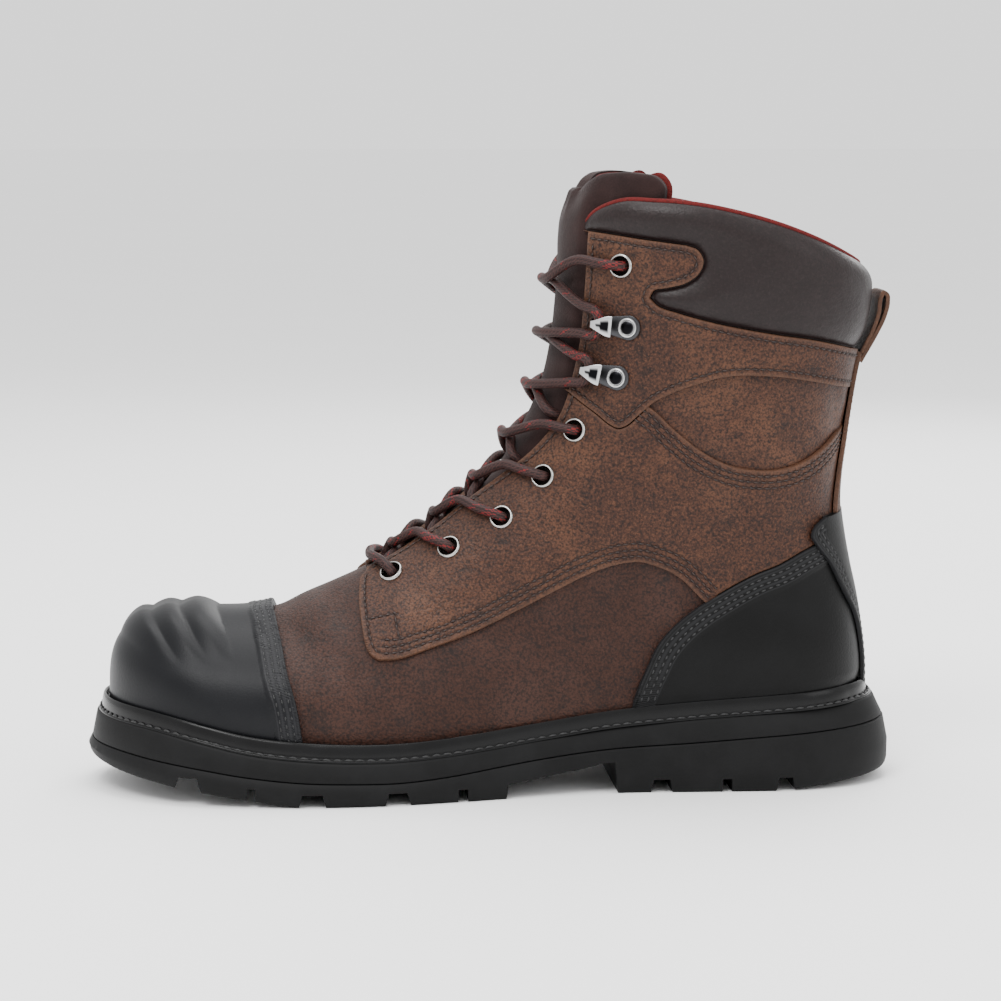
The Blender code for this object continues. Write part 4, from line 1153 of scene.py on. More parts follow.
def finish(look):
    """One of the boot's finishes, made once, from the colours in the sidebar."""
    if look in FINISHES:
        return FINISHES[look]
    c = bpy.context.scene.boot_colours
    brown = (c.leather, c.leather_light, c.leather_dark)
    plum = (c.collar, c.collar_light, (0.0060, 0.0032, 0.0030))
    dull = (c.vamp, c.vamp_light, c.leather_dark)
    welt = ((0.0026, 0.0026, 0.0027), (0.0040, 0.0040, 0.0042))
    makers = {
        "brown_leather": lambda n: pull_up_leather(n, brown),
        "vamp_leather": lambda n: pull_up_leather(n, dull, gloss=0.5),
        "ankle_leather": lambda n: pull_up_leather(n, brown, grain=0.8, grain_depth=0.1, gloss=0.4),
        "collar_leather": lambda n: pull_up_leather(n, plum, 0.8, 0.05, 0.36, 0.6, (0.012, 0.006, 0.006)),
        "black_leather": lambda n: black_leather(n, c.black, (0.0042, 0.0042, 0.0044), 0.38),
        "toe_leather": lambda n: black_leather(n, c.toe, (0.0062, 0.0064, 0.0076), 0.34, 0.7, 0.03, 0.15),
        "tongue_suede": lambda n: suede(n, c.suede, c.suede_light),
        "lining_cloth": lambda n: cloth(n, (0.005, 0.0028, 0.0022), (0.013, 0.008, 0.006)),
        "red_cloth": lambda n: cloth(n, c.piping, (0.055, 0.006, 0.005)),
        "sole_rubber": lambda n: rubber(n, c.rubber, (0.0052, 0.0052, 0.0054), 0.5),
        "welt_rubber": lambda n: rubber(n, *welt, 0.15, 0.01, 0.17),
        "brown_thread": lambda n: thread_finish(n, c.thread, (0.026, 0.012, 0.008)),
        "black_thread": lambda n: thread_finish(n, (0.0028, 0.0028, 0.0029), (0.014, 0.014, 0.0145)),
        "lace_braid": lambda n: braid(n, c.lace, (0.060, 0.0220, 0.0185), c.lace_fleck),
        "eyelet_steel": lambda n: metal(n, c.steel, 0.2),
        "hook_gunmetal": lambda n: metal(n, c.gunmetal, 0.3),
    }
    FINISHES[look] = makers[look](look)
    return FINISHES[look]


# Lines shared by the panels
def front_length(x):
    """Length up the front line at a place along the boot."""
    return float(np.interp(x, FRONT_X, FRONT_LENGTH))


def from_front(x, points, side):
    """A line that starts on the front line at x and goes down one side."""
    start = np.array([[-side * 0.03, front_length(x)]])
    return even(np.concatenate((start, side_line(points, side))))


def flap_line(low, high, side, more=0.0):
    """The throat edge between two chart points' lengths."""
    lengths = np.linspace(low, high, 90)
    turns = np.linspace(0.0, 1.5, 240)
    line = []
    for length in lengths:
        half = float(throat_half(np.interp(length, FRONT_LENGTH, FRONT_Z))) + more
        row = np.stack((-side * turns, np.full(240, length)), axis=1)
        line.append((-side * np.interp(half, np.abs(read_lattice(LATTICE, row)[:, 1]), turns), length))
    return even(np.array(line))


def round_back(line):
    """A medial chart line carried on past the back of the heel."""
    return line + np.array([2 * math.pi, 0.0])


def at_back(low, high, side):
    """The back line between two lengths."""
    return even(np.array([[-side * (math.pi - 0.004), low], [-side * (math.pi - 0.004), high]]))


def turned(line):
    """A line run the other way."""
    return line[::-1]


def beside(line, distance, side):
    """A line moved across the leather, the same way on both sides of the boot."""
    return inset_line(line, -side * distance)


def eyelet_hole(x, z, side):
    """A round hole as a closed chart loop."""
    centre = on_side([(x, z)], side)
    out = facing(centre)[0]
    a = np.cross(out, (0.0, 0.0, 1.0))
    a /= np.linalg.norm(a)
    b = np.cross(out, a)
    angle = np.arange(20)[:, None] * math.pi / 10
    return chart_move(np.repeat(centre, 20, axis=0), EYELET_HOLE * (np.cos(angle) * a + np.sin(angle) * b))


def eyelet_holes(side, top):
    return [eyelet_hole(x, z, side) for x, z, kind in LACE_ROWS if kind == "eyelet" and (z > 190) == top]


def cuff_lines(side):
    """The cuff's lower edge, tab top, tab end and rear top edge."""
    return [side_line(points, side) for points in (CUFF_LOW, CUFF_TAB, CUFF_TAB_END, CUFF_TOP)]


def side_word(side):
    """A side as part of a piece's name."""
    return "lateral" if side == LATERAL else "medial"


def measure(name, description, default, low=0.0):
    return bpy.props.FloatProperty(
        name=name, description=description, default=default, min=low, unit="LENGTH"
    )


class BootSizes(bpy.types.PropertyGroup):
    """Sizes of the finish's details, in metres."""

    grid: measure("Leather grid", "Spacing of a panel's points", 0.0014, 0.0008)
    stitch: measure("Stitch pitch", "From one stitch to the next", 0.0029, 0.001)
    thread: measure("Thread", "Thickness of the sewing thread", 0.00075, 0.0002)
    row_gap: measure("Row gap", "Between rows of stitches", 0.0023, 0.001)
    lace: measure("Lace", "Thickness of the round lace", 0.0038, 0.001)
    ridge: measure("Toe ridge", "Height of the ridges across the toe cap", 0.0033)


def colour(name, description, default):
    return bpy.props.FloatVectorProperty(
        name=name, description=description, default=default, size=3, min=0.0, max=1.0, subtype="COLOR"
    )


class BootColours(bpy.types.PropertyGroup):
    """Colours of the boot's materials."""

    leather: colour("Leather", "Brown of the quarters and cuffs", (0.0400, 0.0142, 0.0072))
    leather_light: colour("Leather, pulled", "Where the oiled leather lightens", (0.0820, 0.0325, 0.0152))
    # The deep leather colour serves the pores, darker patches and the painted shade in the seams
    leather_dark: colour("Leather, deep", "Seams, pores and shadowed patches", (0.0045, 0.0020, 0.0015))
    vamp: colour("Vamp", "Brown of the vamp", (0.0265, 0.0084, 0.0042))
    vamp_light: colour("Vamp, pulled", "Where the vamp lightens", (0.0400, 0.0150, 0.0090))
    collar: colour("Collar", "Smooth leather of the padded collar", (0.0088, 0.0044, 0.0044))
    collar_light: colour("Collar, worn", "Lighter clouds of the collar", (0.0150, 0.0088, 0.0086))
    black: colour("Counter", "Black of the heel counter", (0.0022, 0.0022, 0.0022))
    toe: colour("Toe cap", "Black of the toe cap", (0.0040, 0.0042, 0.0052))
    suede: colour("Tongue", "Brushed leather of the tongue", (0.0110, 0.0042, 0.0038))
    suede_light: colour("Tongue nap", "Lighter nap of the tongue", (0.0220, 0.0098, 0.0088))
    piping: colour("Piping", "Red of the piping and the tongue's back", (0.090, 0.0075, 0.0070))
    rubber: colour("Sole", "Black of the sole", (0.0030, 0.0030, 0.0031))
    thread: colour("Thread", "Brown of the seams", (0.0085, 0.0038, 0.0028))
    lace: colour("Lace", "Brown of the lace", (0.0120, 0.0038, 0.0033))
    lace_fleck: colour("Lace fleck", "Red flecks of the lace", (0.130, 0.0090, 0.0090))
    steel: colour("Eyelets", "Bright plating", (0.42, 0.41, 0.39))
    gunmetal: colour("Hooks", "Dark plating", (0.052, 0.052, 0.055))


def size(name):
    """A size from the sidebar, in millimetres."""
    return getattr(bpy.context.scene.boot_sizes, name) / MM


# The camera at the photograph's angle, in metres and radians
CAMERA_AIM = Vector((0.004, 0.0, 0.109))
CAMERA_AZIMUTH = math.radians(-4.5)
CAMERA_ELEVATION = math.radians(7.0)
CAMERA_AWAY = 1.2
CAMERA_LENS = 110.3
ROOM_STRENGTH = 1.5


# The pieces
class BOOT_OT_stage(bpy.types.Operator):
    """Floor, soft lights and the camera at the photograph's angle"""

    bl_idname = "boot.stage"
    bl_label = "Stage"

    def execute(self, context):
        bpy.ops.mesh.primitive_plane_add(size=60.0, location=(0.0, 0.0, 0.0))
        floor = context.object
        floor.name = "floor"
        floor.data.materials.append(floor_finish())
        world = bpy.data.worlds.new("pale_room")
        world.use_nodes = True
        room = world.node_tree.nodes["Background"].inputs
        room["Color"].default_value = (1.0, 1.0, 1.0, 1.0)
        room["Strength"].default_value = ROOM_STRENGTH
        context.scene.world = world
        # Name, place, size, strength, point looked at
        lights = (
            ("key", (-0.5, -0.9, 1.4), 0.7, 22.0, (0.0, 0.0, 0.1)),
            ("fill", (1.1, -0.9, 0.8), 0.9, 6.0, (0.0, 0.0, 0.1)),
            ("top", (0.0, 0.3, 1.5), 1.2, 22.0, (0.0, 0.0, 0.1)),
            ("rim", (0.6, 1.2, 0.8), 0.8, 8.0, (0.0, 0.0, 0.12)),
        )
        for name, place, width, watts, aim in lights:
            bpy.ops.object.light_add(type="AREA", location=place)
            light = context.object
            light.name = name
            light.data.size = width
            light.data.energy = watts
            light.rotation_euler = (Vector(aim) - Vector(place)).to_track_quat("-Z", "Y").to_euler()
        flat = math.cos(CAMERA_ELEVATION)
        away = Vector((
            math.sin(CAMERA_AZIMUTH) * flat,
            -math.cos(CAMERA_AZIMUTH) * flat,
            math.sin(CAMERA_ELEVATION),
        ))
        bpy.ops.object.camera_add(location=CAMERA_AIM + away * CAMERA_AWAY)
        camera = context.object
        camera.data.lens = CAMERA_LENS
        camera.data.sensor_width = 36.0
        camera.rotation_euler = (-away).to_track_quat("-Z", "Y").to_euler()
        context.scene.camera = camera
        return {"FINISHED"}


SOLE_COLUMNS = 260


def sole_ring(inset):
    """Points round the sole in plan, moved inwards."""
    turns = np.arange(SOLE_COLUMNS) * 2 * math.pi / SOLE_COLUMNS
    x = TOE_TIP + SOLE_LENGTH * (1 - np.cos(turns)) / 2
    full = np.where(np.sin(turns) >= 0, lateral(x) - sole_margin(x), medial(x) + sole_margin(x))
    toe = np.clip((-98 - x) / (-98 - TOE_TIP), 0, 1)
    heel = np.clip((x - 107) / (HEEL_TIP - 107), 0, 1)
    centre = middle(x) * toe
    y = centre + (full - centre) * rounded(toe, 2.25) * rounded(heel, 2.25)
    points = np.stack((x, y), axis=1)
    return points - plan_out(points) * np.asarray(inset(x) if callable(inset) else inset).reshape(-1, 1)


def plan_out(points):
    """Outward directions in plan of a closed loop."""
    way = np.roll(points, -1, axis=0) - np.roll(points, 1, axis=0)
    out = np.stack((way[:, 1], -way[:, 0]), axis=1)
    return out / np.linalg.norm(out, axis=1, keepdims=True)


def top_inset(x):
    """How far the sole's side leans in from its joint to its top."""
    return 3.5 + 2.5 * ease((x - 60) / 90)


def stack(name, loops):
    """A solid from plan loops stacked upwards: each is points and heights."""
    rings = [np.column_stack((points, height)) for points, height in loops]
    count = len(rings[0])
    faces = ring_faces(len(rings), count)
    top = (len(loops) - 1) * count
    for j in range(count // 2):
        quad = list(dict.fromkeys((j, (count - j) % count, (count - j - 1) % count, j + 1)))
        faces.append(tuple(quad))
        faces.append(tuple(top + v for v in reversed(quad)))
    return make_piece(name, np.concatenate(rings), faces)


def prism(corners, way):
    """A solid drawn out from flat corners by a way, all in millimetres."""
    bpy.ops.mesh.primitive_circle_add(vertices=len(corners), radius=1.0, fill_type="NGON")
    thing = bpy.context.object
    for vertex, corner in zip(thing.data.vertices, corners):
        vertex.co = [value * MM for value in corner]
    lone(thing)
    bpy.ops.object.mode_set(mode="EDIT")
    bpy.ops.mesh.select_all(action="SELECT")
    bpy.ops.mesh.extrude_region_move(TRANSFORM_OT_translate={"value": [value * MM for value in way]})
    bpy.ops.mesh.select_all(action="SELECT")
    bpy.ops.mesh.normals_make_consistent(inside=False)
    bpy.ops.object.mode_set(mode="OBJECT")
    return thing


def carve(thing, corners, way):
    """Takes a prism out of a piece."""
    cutter = prism(corners, way)
    apply_modifier(thing, "BOOLEAN", object=cutter, operation="DIFFERENCE", solver="EXACT")
    bpy.data.objects.remove(cutter)


def cut_across(thing, outline):
    """Cuts a groove across the boot, with an outline of x, z."""
    carve(thing, [(x, -80, z) for x, z in outline], (0.0, 160, 0.0))


def cut_along(thing, outline, start, end):
    """Cuts a groove along the boot, with an outline of y, z."""
    carve(thing, [(start, y, z) for y, z in outline], (end - start, 0.0, 0.0))


def soften(thing, width, angle):
    """Rounds a piece's sharp edges."""
    limit = math.radians(angle)
    apply_modifier(thing, "BEVEL", width=width * MM, segments=2, limit_method="ANGLE", angle_limit=limit)


class BOOT_OT_sole(bpy.types.Operator):
    """Outsole with its lugs, midsole, and the beaded and stitched welt"""

    bl_idname = "boot.sole"
    bl_label = "Sole and welt"

    def execute(self, context):
        def low(x):
            return np.maximum(sole_under(x), 0.0)

        def ring(inset, height):
            points = sole_ring(inset)
            return points, height(points[:, 0])

        outsole = stack("sole_tread", [
            ring(9.0, low),
            ring(1.9, low),
            ring(1.1, lambda x: low(x) + 0.35),
            ring(0.5, lambda x: low(x) + 1.2),
            ring(0.1, lambda x: low(x) + 3.0),
            ring(0.0, lambda x: (low(x) + sole_joint(x)) / 2),
            ring(lambda x: 0.30 * top_inset(x), lambda x: sole_joint(x) - 0.8),
            ring(lambda x: 0.35 * top_inset(x) + 0.3, lambda x: sole_joint(x) - 0.3),
            ring(lambda x: 0.35 * top_inset(x) + 1.4, lambda x: sole_joint(x) - 0.2),
        ])
        cut_across(outsole, SHANK)
        for start, end, depth, slant in GROOVES:
            base = max(0.0, float(sole_under((start + end) / 2)))
            mouth = ((start - slant, base - 6), (end + slant, base - 6))
            bed = ((end - slant, base + depth), (start + slant, base + depth))
            cut_across(outsole, mouth + bed)
        for y in (-22.0, -7.0, 8.0, 23.0):
            outline = ((y - 1.8, -6), (y + 1.8, -6), (y + 1.2, 4), (y - 1.2, 4))
            cut_along(outsole, outline, -140, 2)
            cut_along(outsole, outline, 52, 148)
        soften(outsole, 0.45, 50)
        dress(outsole, "sole_rubber", "sole_rubber", "outsole", angle=35.0)

        def waist(x):
            return sole_joint(x) + 0.45 * (sole_top(x) - sole_joint(x))

        midsole = stack("sole_midsole", [
            ring(lambda x: 0.35 * top_inset(x) + 1.6, sole_joint),
            ring(lambda x: 0.35 * top_inset(x) + 0.5, lambda x: sole_joint(x) + 0.15),
            ring(lambda x: 0.38 * top_inset(x) + 0.25, lambda x: sole_joint(x) + 0.7),
            ring(lambda x: 0.68 * top_inset(x), waist),
            ring(lambda x: 0.95 * top_inset(x), lambda x: sole_top(x) - 1.0),
            ring(lambda x: top_inset(x) + 0.25, lambda x: sole_top(x) - 0.25),
            ring(lambda x: top_inset(x) + 0.9, sole_top),
            ring(lambda x: top_inset(x) + 3.0, sole_top),
        ])
        dress(midsole, "sole_rubber", "sole_rubber", "midsole", angle=50.0)

        turns = np.arange(SOLE_COLUMNS) * 2 * math.pi / SOLE_COLUMNS
        turns = np.where(turns > math.pi, turns - 2 * math.pi, turns)
        foot = spot(np.stack((turns, np.zeros(SOLE_COLUMNS)), axis=1))[:, :2]
        out = plan_out(foot)
        # The bead stands further out under the toe cap and closer in where the sole is narrow
        capped = ease((-70.0 - foot[:, :1]) / 7.0)
        narrow = ease((foot[:, :1] + 20.0) / 30.0)
        near = foot + out * (2.5 + 0.9 * capped - 1.2 * narrow)
        outer = sole_ring(lambda x: top_inset(x) + 0.7)
        room = ((outer - near) * out).sum(axis=1, keepdims=True)
        outer = outer + out * np.maximum(2.0 - room, 0.0)
        # Share of the way from the upper to the sole's edge, and height over the sole
        profile = (
            (-0.9, 0.1),
            (1.0, 0.1),
            (1.0, 0.55),
            (0.93, 0.9),
            (0.78, 1.0),
            (0.70, 1.1),
            (0.665, 1.5),
            (0.66, 2.3),
            (0.64, 3.4),
            (0.59, 4.7),
            (0.51, 5.8),
            (0.41, 6.5),
            (0.30, 6.75),
            (0.19, 6.6),
            (0.10, 6.1),
            (0.03, 5.2),
            (-0.05, 5.0),
            (-0.30, 5.0),
            (-0.9, 5.0),
        )
        rings = []
        for share, height in profile:
            plan = near + (outer - near) * share if share >= 0 else near + out * share * 8.0
            rings.append(np.column_stack((plan, sole_top(plan[:, 0]) + height)))
        faces = ring_faces(len(profile), SOLE_COLUMNS, closed=True)
        welt = make_piece("welt_bead", np.concatenate(rings), faces)
        dress(welt, "welt_rubber", "welt_rubber", "welt", angle=60.0)

        seams = (("welt_stitches", 0.82, 1.25, 0.95), ("welt_seam", -0.02, 5.35, 0.7))
        for name, share, height, thick in seams:
            plan = near + (outer - near) * share
            path = np.column_stack((plan, sole_top(plan[:, 0]) + height))
            stitches_round(name, path, "black_thread", "welt_rubber", thick)
        return {"FINISHED"}


class BOOT_OT_upper(bpy.types.Operator):
    """Lining, insole, vamp leather and the recessed ankle panels"""

    bl_idname = "boot.upper"
    bl_label = "Upper and lining"

    def execute(self, context):
        start = front_length(THROAT_START_X)
        lines = {}
        for side in SIDES:
            top = side_line(COLLAR_TOP, side)
            flap = flap_line(start + 3.0, top[0][1], side)
            back = at_back(0.0, top[-1][1], side)
            foot = even(np.array([[-side * 0.01, 0.0], [-side * (math.pi - 0.004), 0.0]]))
            lines[side] = (foot, back, turned(top), turned(flap))
        outline = joined(*lines[LATERAL], *[turned(line) for line in reversed(lines[MEDIAL])])
        lining = panel("lining", outline, LINING, 3.0, edge=0.4)
        dress(lining, "lining_cloth", "collar_leather", "upper")

        under_cap = [(x - 7.0, z) for x, z in TOE_CAP_REAR]
        front = [from_front(-91.0, under_cap, side) for side in SIDES]
        rest = [side_line(VAMP_REAR, side) for side in SIDES]
        throat = [flap_line(start - 1.5, start + 5.0, side, 0.5) for side in SIDES]
        outline = joined(
            front[0],
            np.array([[front[0][-1][0], 0.0], [rest[0][0][0], 0.0]]),
            rest[0],
            turned(throat[0]),
            throat[1],
            turned(rest[1]),
            np.array([[rest[1][0][0], 0.0], [front[1][-1][0], 0.0]]),
            turned(front[1]),
        )
        vamp = panel("vamp", outline, SKIN, size("grid"))
        dress(vamp, "vamp_leather", "vamp_leather", "upper")

        def rise_to_strip(space, chart):
            return 1.6 * ease((space[:, 0] - 131.0) / 5.0)

        for side in SIDES:
            below = side_line(ANKLE_LOW, side)
            above = side_line(ANKLE_HIGH, side)
            outline = joined(below, at_back(below[-1][1], above[-1][1], side), turned(above))
            name = f"ankle_{side_word(side)}"
            ankle = panel(name, outline, ANKLE, size("grid"), relief=rise_to_strip)
            dress(ankle, "ankle_leather", "brown_leather", "upper")

        columns = 160
        turns = np.arange(columns) * 2 * math.pi / columns - math.pi
        edge = spot(np.stack((turns, np.zeros(columns)), axis=1))[:, :2]
        edge -= plan_out(edge) * 3.0
        loops = []
        # Inset from the upper's lower edge, and height over it
        footbed = ((1.0, 0.3), (0.0, 1.2), (0.0, 3.0), (0.8, 3.7), (3.0, 3.9), (12.0, 3.7), (22.0, 3.4))
        for inset, height in footbed:
            plan = edge - plan_out(edge) * inset
            loops.append((plan, sole_top(plan[:, 0]) + SEAT + height))
        insole = stack("insole_pad", loops)
        dress(insole, "lining_cloth", "insole_fabric", "insole")
        return {"FINISHED"}


def ridge_rise(space, chart):
    """Three soft ridges across the toe cap that trail down and back on its sides."""
    x = space[:, 0]
    z = space[:, 2]
    crest = np.interp(x, FRONT_X, FRONT_Z)
    along = x - 0.75 * np.clip(crest - z, 0, None)
    fade = ease((z - 49.0) / 15.0)
    total = np.zeros_like(x)
    for place, ahead, behind in RIDGES:
        away = along - place
        reach = np.where(away < 0, ahead, behind) * (0.55 + 0.45 * fade)
        total += np.clip(1 - np.abs(away / reach) ** 1.7, 0, None) ** 7
    return size("ridge") * total ** (1 / 7) * fade


class BOOT_OT_toe_cap(bpy.types.Operator):
    """Black toe cap with its ridges and its sewn border"""

    bl_idname = "boot.toe_cap"
    bl_label = "Toe cap"

    def execute(self, context):
        rears = [from_front(-84.5, TOE_CAP_REAR, side) for side in SIDES]
        ends = [line[-1][0] for line in rears]
        foot = np.stack((np.linspace(ends[1], ends[0], 260), np.zeros(260)), axis=1)
        outline = joined(foot, turned(rears[0]), rears[1])
        rear = joined(turned(rears[1]), rears[0])
        seams = [inset_line(rear, -distance) for distance in (2.4, 4.9, 7.4)]
        rear_space = [spot(rear)]

        def relief(space, chart):
            far = distances(space, rear_space)
            border = 0.75 * ease((9.9 - far) / 1.2)
            strips = -0.35 * (0.5 - 0.5 * np.cos(2 * math.pi * (far + 0.1) / 2.5)) ** 3 * (far < 9.2)
            return border + strips + ridge_rise(space, chart)

        cap = panel("toe_cap_leather", outline, TOE_CAP, 0.8, seams=seams, relief=relief, groove=0.35)
        dress(cap, "toe_leather", "black_guard", "toe_cap", angle=50.0)
        rows = [(trimmed(seam, 1.0, 1.0), TOE_CAP[1] + 0.35) for seam in seams]
        stitches("toe_cap_stitches", rows, "black_thread", "black_guard", 2.2, 0.85)
        return {"FINISHED"}


class BOOT_OT_quarters(bpy.types.Operator):
    """Brown quarters with the lower eyelets' flaps and their seams"""

    bl_idname = "boot.quarters"
    bl_label = "Quarters"

    def execute(self, context):
        for side in SIDES:
            word = side_word(side)
            front = side_line(QUARTER_FRONT, side)
            low = side_line(QUARTER_LOW, side)
            counter = side_line(COUNTER_TOP[1:], side)
            counter = beside(counter, 0.25, side)
            crescent = side_line(CRESCENT[1:], side)
            cuff = beside(cuff_lines(side)[0], -0.3, side)
            space = spot(cuff)
            meet = int(np.linalg.norm(space - spot(crescent[:1]), axis=1).argmin())
            cuff = cuff[:meet]
            flap = flap_line(front[0][1] + 1.5, cuff[0][1], side)
            back = at_back(counter[-1][1] - 1.0, crescent[-1][1], side)
            outline = joined(turned(flap), front, low, counter, back, turned(crescent), turned(cuff))
            gap = size("row_gap")
            lower = [trimmed(beside(low, k * gap, side), 1.5, 2.5) for k in (1, 2, 3)]
            upper = [trimmed(beside(crescent, -k * gap, side), 2.5, 1.0) for k in (1, 2, 3)]
            leading = [trimmed(beside(front, 2.4, side), 2.0, 1.0)]
            edge = [trimmed(beside(flap, -2.6, side), 2.0, 0.5)]
            box = even(on_side([(-48.4, 66.8), (-38.5, 69.1), (-37.3, 60.7)], side))
            seams = lower + upper + leading + edge + [box]
            quarter = panel(
                f"quarter_{word}_leather", outline, QUARTER, size("grid"), eyelet_holes(side, False), seams
            )
            dress(quarter, "brown_leather", "brown_leather", f"quarter_{word}")
            rows = [(seam, QUARTER[1] - 0.02) for seam in seams]
            stitches(f"quarter_{word}_stitches", rows, "brown_thread", "brown_leather", 2.1, size("thread"))
        return {"FINISHED"}


class BOOT_OT_cuffs(bpy.types.Operator):
    """Brown cuffs that carry the hooks and the top eyelets"""

    bl_idname = "boot.cuffs"
    bl_label = "Cuffs"

    def execute(self, context):
        for side in SIDES:
            word = side_word(side)
            low, tab, tab_end, top = cuff_lines(side)
            flap = flap_line(low[0][1], tab[0][1], side)
            back = at_back(low[-1][1], top[-1][1], side)
            outline = joined(low, back, turned(top), turned(tab_end), turned(tab), turned(flap))
            upper = joined(tab, tab_end, top)
            seams = [
                trimmed(beside(low, 2.5, side), 3.0, 0.5),
                trimmed(beside(upper, -2.5, side), 4.5, 0.5),
                trimmed(beside(flap, -2.8, side), 2.0, 4.5),
            ]
            cuff = panel(f"cuff_{word}_leather", outline, CUFF, size("grid"), eyelet_holes(side, True), seams)
            dress(cuff, "brown_leather", "brown_leather", f"cuff_{word}")
            rows = [(seam, CUFF[1] - 0.02) for seam in seams]
            stitches(f"cuff_{word}_stitches", rows, "brown_thread", "brown_leather", 2.1, size("thread"))
        return {"FINISHED"}


class BOOT_OT_collar(bpy.types.Operator):
    """Padded collar, its inner pad and the red piping round its top"""

    bl_idname = "boot.collar"
    bl_label = "Collar"

    def execute(self, context):
        lower = []
        tops = []
        for side in SIDES:
            _, tab, tab_end, top = cuff_lines(side)
            lower.append(beside(joined(tab, tab_end, top), 0.3, side))
            tops.append(side_line(COLLAR_TOP, side))
        lower_line = joined(lower[0], turned(round_back(lower[1])))
        top_line = joined(tops[0], turned(round_back(tops[1])))
        outline = joined(lower_line, turned(top_line))
        lower_space = [spot(lower_line)]
        top_space = [spot(top_line)]

        def puff(space, chart):
            low_far = distances(space, lower_space)
            top_far = distances(space, top_space)
            swell = 1 - np.exp(-low_far / 5.0)
            roll = 1 - np.clip(1 - top_far / 9.0, 0, 1) ** 2.2
            return 3.1 * swell * roll - 3.3 + 1.1 * roll * swell * ease(low_far / 30.0)

        collar = panel("collar_pad", outline, COLLAR, 1.8, relief=puff, edge=0.8)
        dress(collar, "collar_leather", "collar_leather", "collar")

        inner_low = [side_line([(x, z - 34.0) for x, z in COLLAR_TOP[2:]], side) for side in SIDES]
        inner_low = joined(inner_low[0], turned(round_back(inner_low[1])))
        inner_outline = joined(inner_low, turned(trimmed(top_line, 6.0, 6.0)))
        inner = panel("collar_inner_pad", inner_outline, COLLAR_INNER, 3.0, edge=1.6)
        dress(inner, "lining_cloth", "collar_leather", "upper", angle=60.0)

        roll = spot(top_line, -0.4)
        roll[:, 2] += 0.2
        piping = sweep("collar_piping", roll, 12, 1.0)
        dress(piping, "red_cloth", "collar_leather", angle=60.0)
        return {"FINISHED"}


class BOOT_OT_counter(bpy.types.Operator):
    """Black heel counter with its sewn border, and the back stay"""

    bl_idname = "boot.counter"
    bl_label = "Heel counter"

    def execute(self, context):
        edges = []
        for side in SIDES:
            edges.append(joined(side_line(COUNTER_FRONT, side), side_line(COUNTER_TOP, side)))
        rim = joined(edges[0], turned(round_back(edges[1])))
        foot = np.stack((np.linspace(rim[0][0], rim[-1][0], 240), np.zeros(240)), axis=1)
        outline = joined(foot, turned(rim))
        seams = [inset_line(rim, -distance) for distance in (2.4, 4.8, 7.2)]
        rim_space = [spot(rim)]

        def relief(space, chart):
            far = distances(space, rim_space)
            border = 0.6 * ease((9.5 - far) / 1.2)
            strips = -0.3 * (0.5 - 0.5 * np.cos(2 * math.pi * (far + 0.05) / 2.4)) ** 3 * (far < 9.0)
            tuck = -1.7 * ease(1.0 - (space[:, 2] - feather(space[:, 0])) / 9.0)
            return border + strips + tuck

        counter = panel("counter_leather", outline, COUNTER, 1.0, seams=seams, relief=relief, groove=0.3)
        dress(counter, "black_leather", "black_guard", "heel_counter", angle=50.0)
        rows = [(trimmed(seam, 6.0, 6.0), COUNTER[1] + 0.3) for seam in seams]
        stitches("counter_stitches", rows, "black_thread", "black_guard", 2.2, 0.8)

        left = back_line(BACK_STAY_SIDE, LATERAL)
        right = back_line(BACK_STAY_SIDE, MEDIAL)
        outline = joined(left, turned(right))
        seams = []
        for distance in (2.2, 4.4):
            seams.append(trimmed(inset_line(left, -distance), 1.0, 4.0))
            seams.append(trimmed(inset_line(right, distance), 1.0, 4.0))
        stay = panel("back_stay_leather", outline, STAY, 1.2, seams=seams)
        dress(stay, "black_leather", "black_guard", "back_stay")
        rows = [(seam, STAY[1] - 0.2) for seam in seams]
        stitches("back_stay_stitches", rows, "black_thread", "black_guard", 2.2, 0.8)

        left = back_line(BACK_STRIP_SIDE, LATERAL)
        right = back_line(BACK_STRIP_SIDE, MEDIAL)
        seams = [trimmed(inset_line(left, -2.4), 1.0, 1.0), trimmed(inset_line(right, 2.4), 1.0, 1.0)]
        outline = joined(left, turned(right))
        strip = panel("back_strip_leather", outline, STRIP, size("grid"), seams=seams)
        dress(strip, "brown_leather", "brown_leather", "back_strip")
        rows = [(seam, STRIP[1] - 0.25) for seam in seams]
        stitches("back_strip_stitches", rows, "brown_thread", "brown_leather", 2.1, size("thread"))
        return {"FINISHED"}


def plane_with(points, edges, faces):
    """A plane whose mesh is rebuilt from points in metres, edges and faces."""
    bpy.ops.mesh.primitive_plane_add(size=0.001)
    thing = bpy.context.object
    thing.data.clear_geometry()
    thing.data.from_pydata(points, edges, faces)
    return thing


class BOOT_OT_pull_loop(bpy.types.Operator):
    """Folded leather pull loop on the back of the collar"""

    bl_idname = "boot.pull_loop"
    bl_label = "Pull loop"

    def execute(self, context):
        line = smooth_line(PULL_LOOP, 0.5)
        half = 9.5
        columns = 20
        across = np.linspace(-half, half, columns)
        points = [(x * MM, y * MM, (z - 0.003 * y * y) * MM) for x, z in line for y in across]
        faces = []
        for r in range(0, (len(line) - 1) * columns, columns):
            for j in range(r, r + columns - 1):
                faces.append((j, j + 1, j + columns + 1, j + columns))
        strip = plane_with(points, [], faces)
        strip.name = "pull_loop_leather"
        apply_modifier(strip, "SOLIDIFY", thickness=1.5 * MM, offset=0.0, use_even_offset=True)
        soften(strip, 0.4, 60)
        across = np.array([vertex.co.y / MM for vertex in strip.data.vertices])
        set_marks(strip, edge=half - np.abs(across), seam=np.full(len(across), FAR))
        dress(strip, "brown_leather", "brown_leather", "pull_loop", angle=50.0)
        return {"FINISHED"}


def tongue_swell(z):
    """How far the padded tongue stands out beyond the last at a height."""
    return 3.0 * ease((z - 112.0) / 25.0)


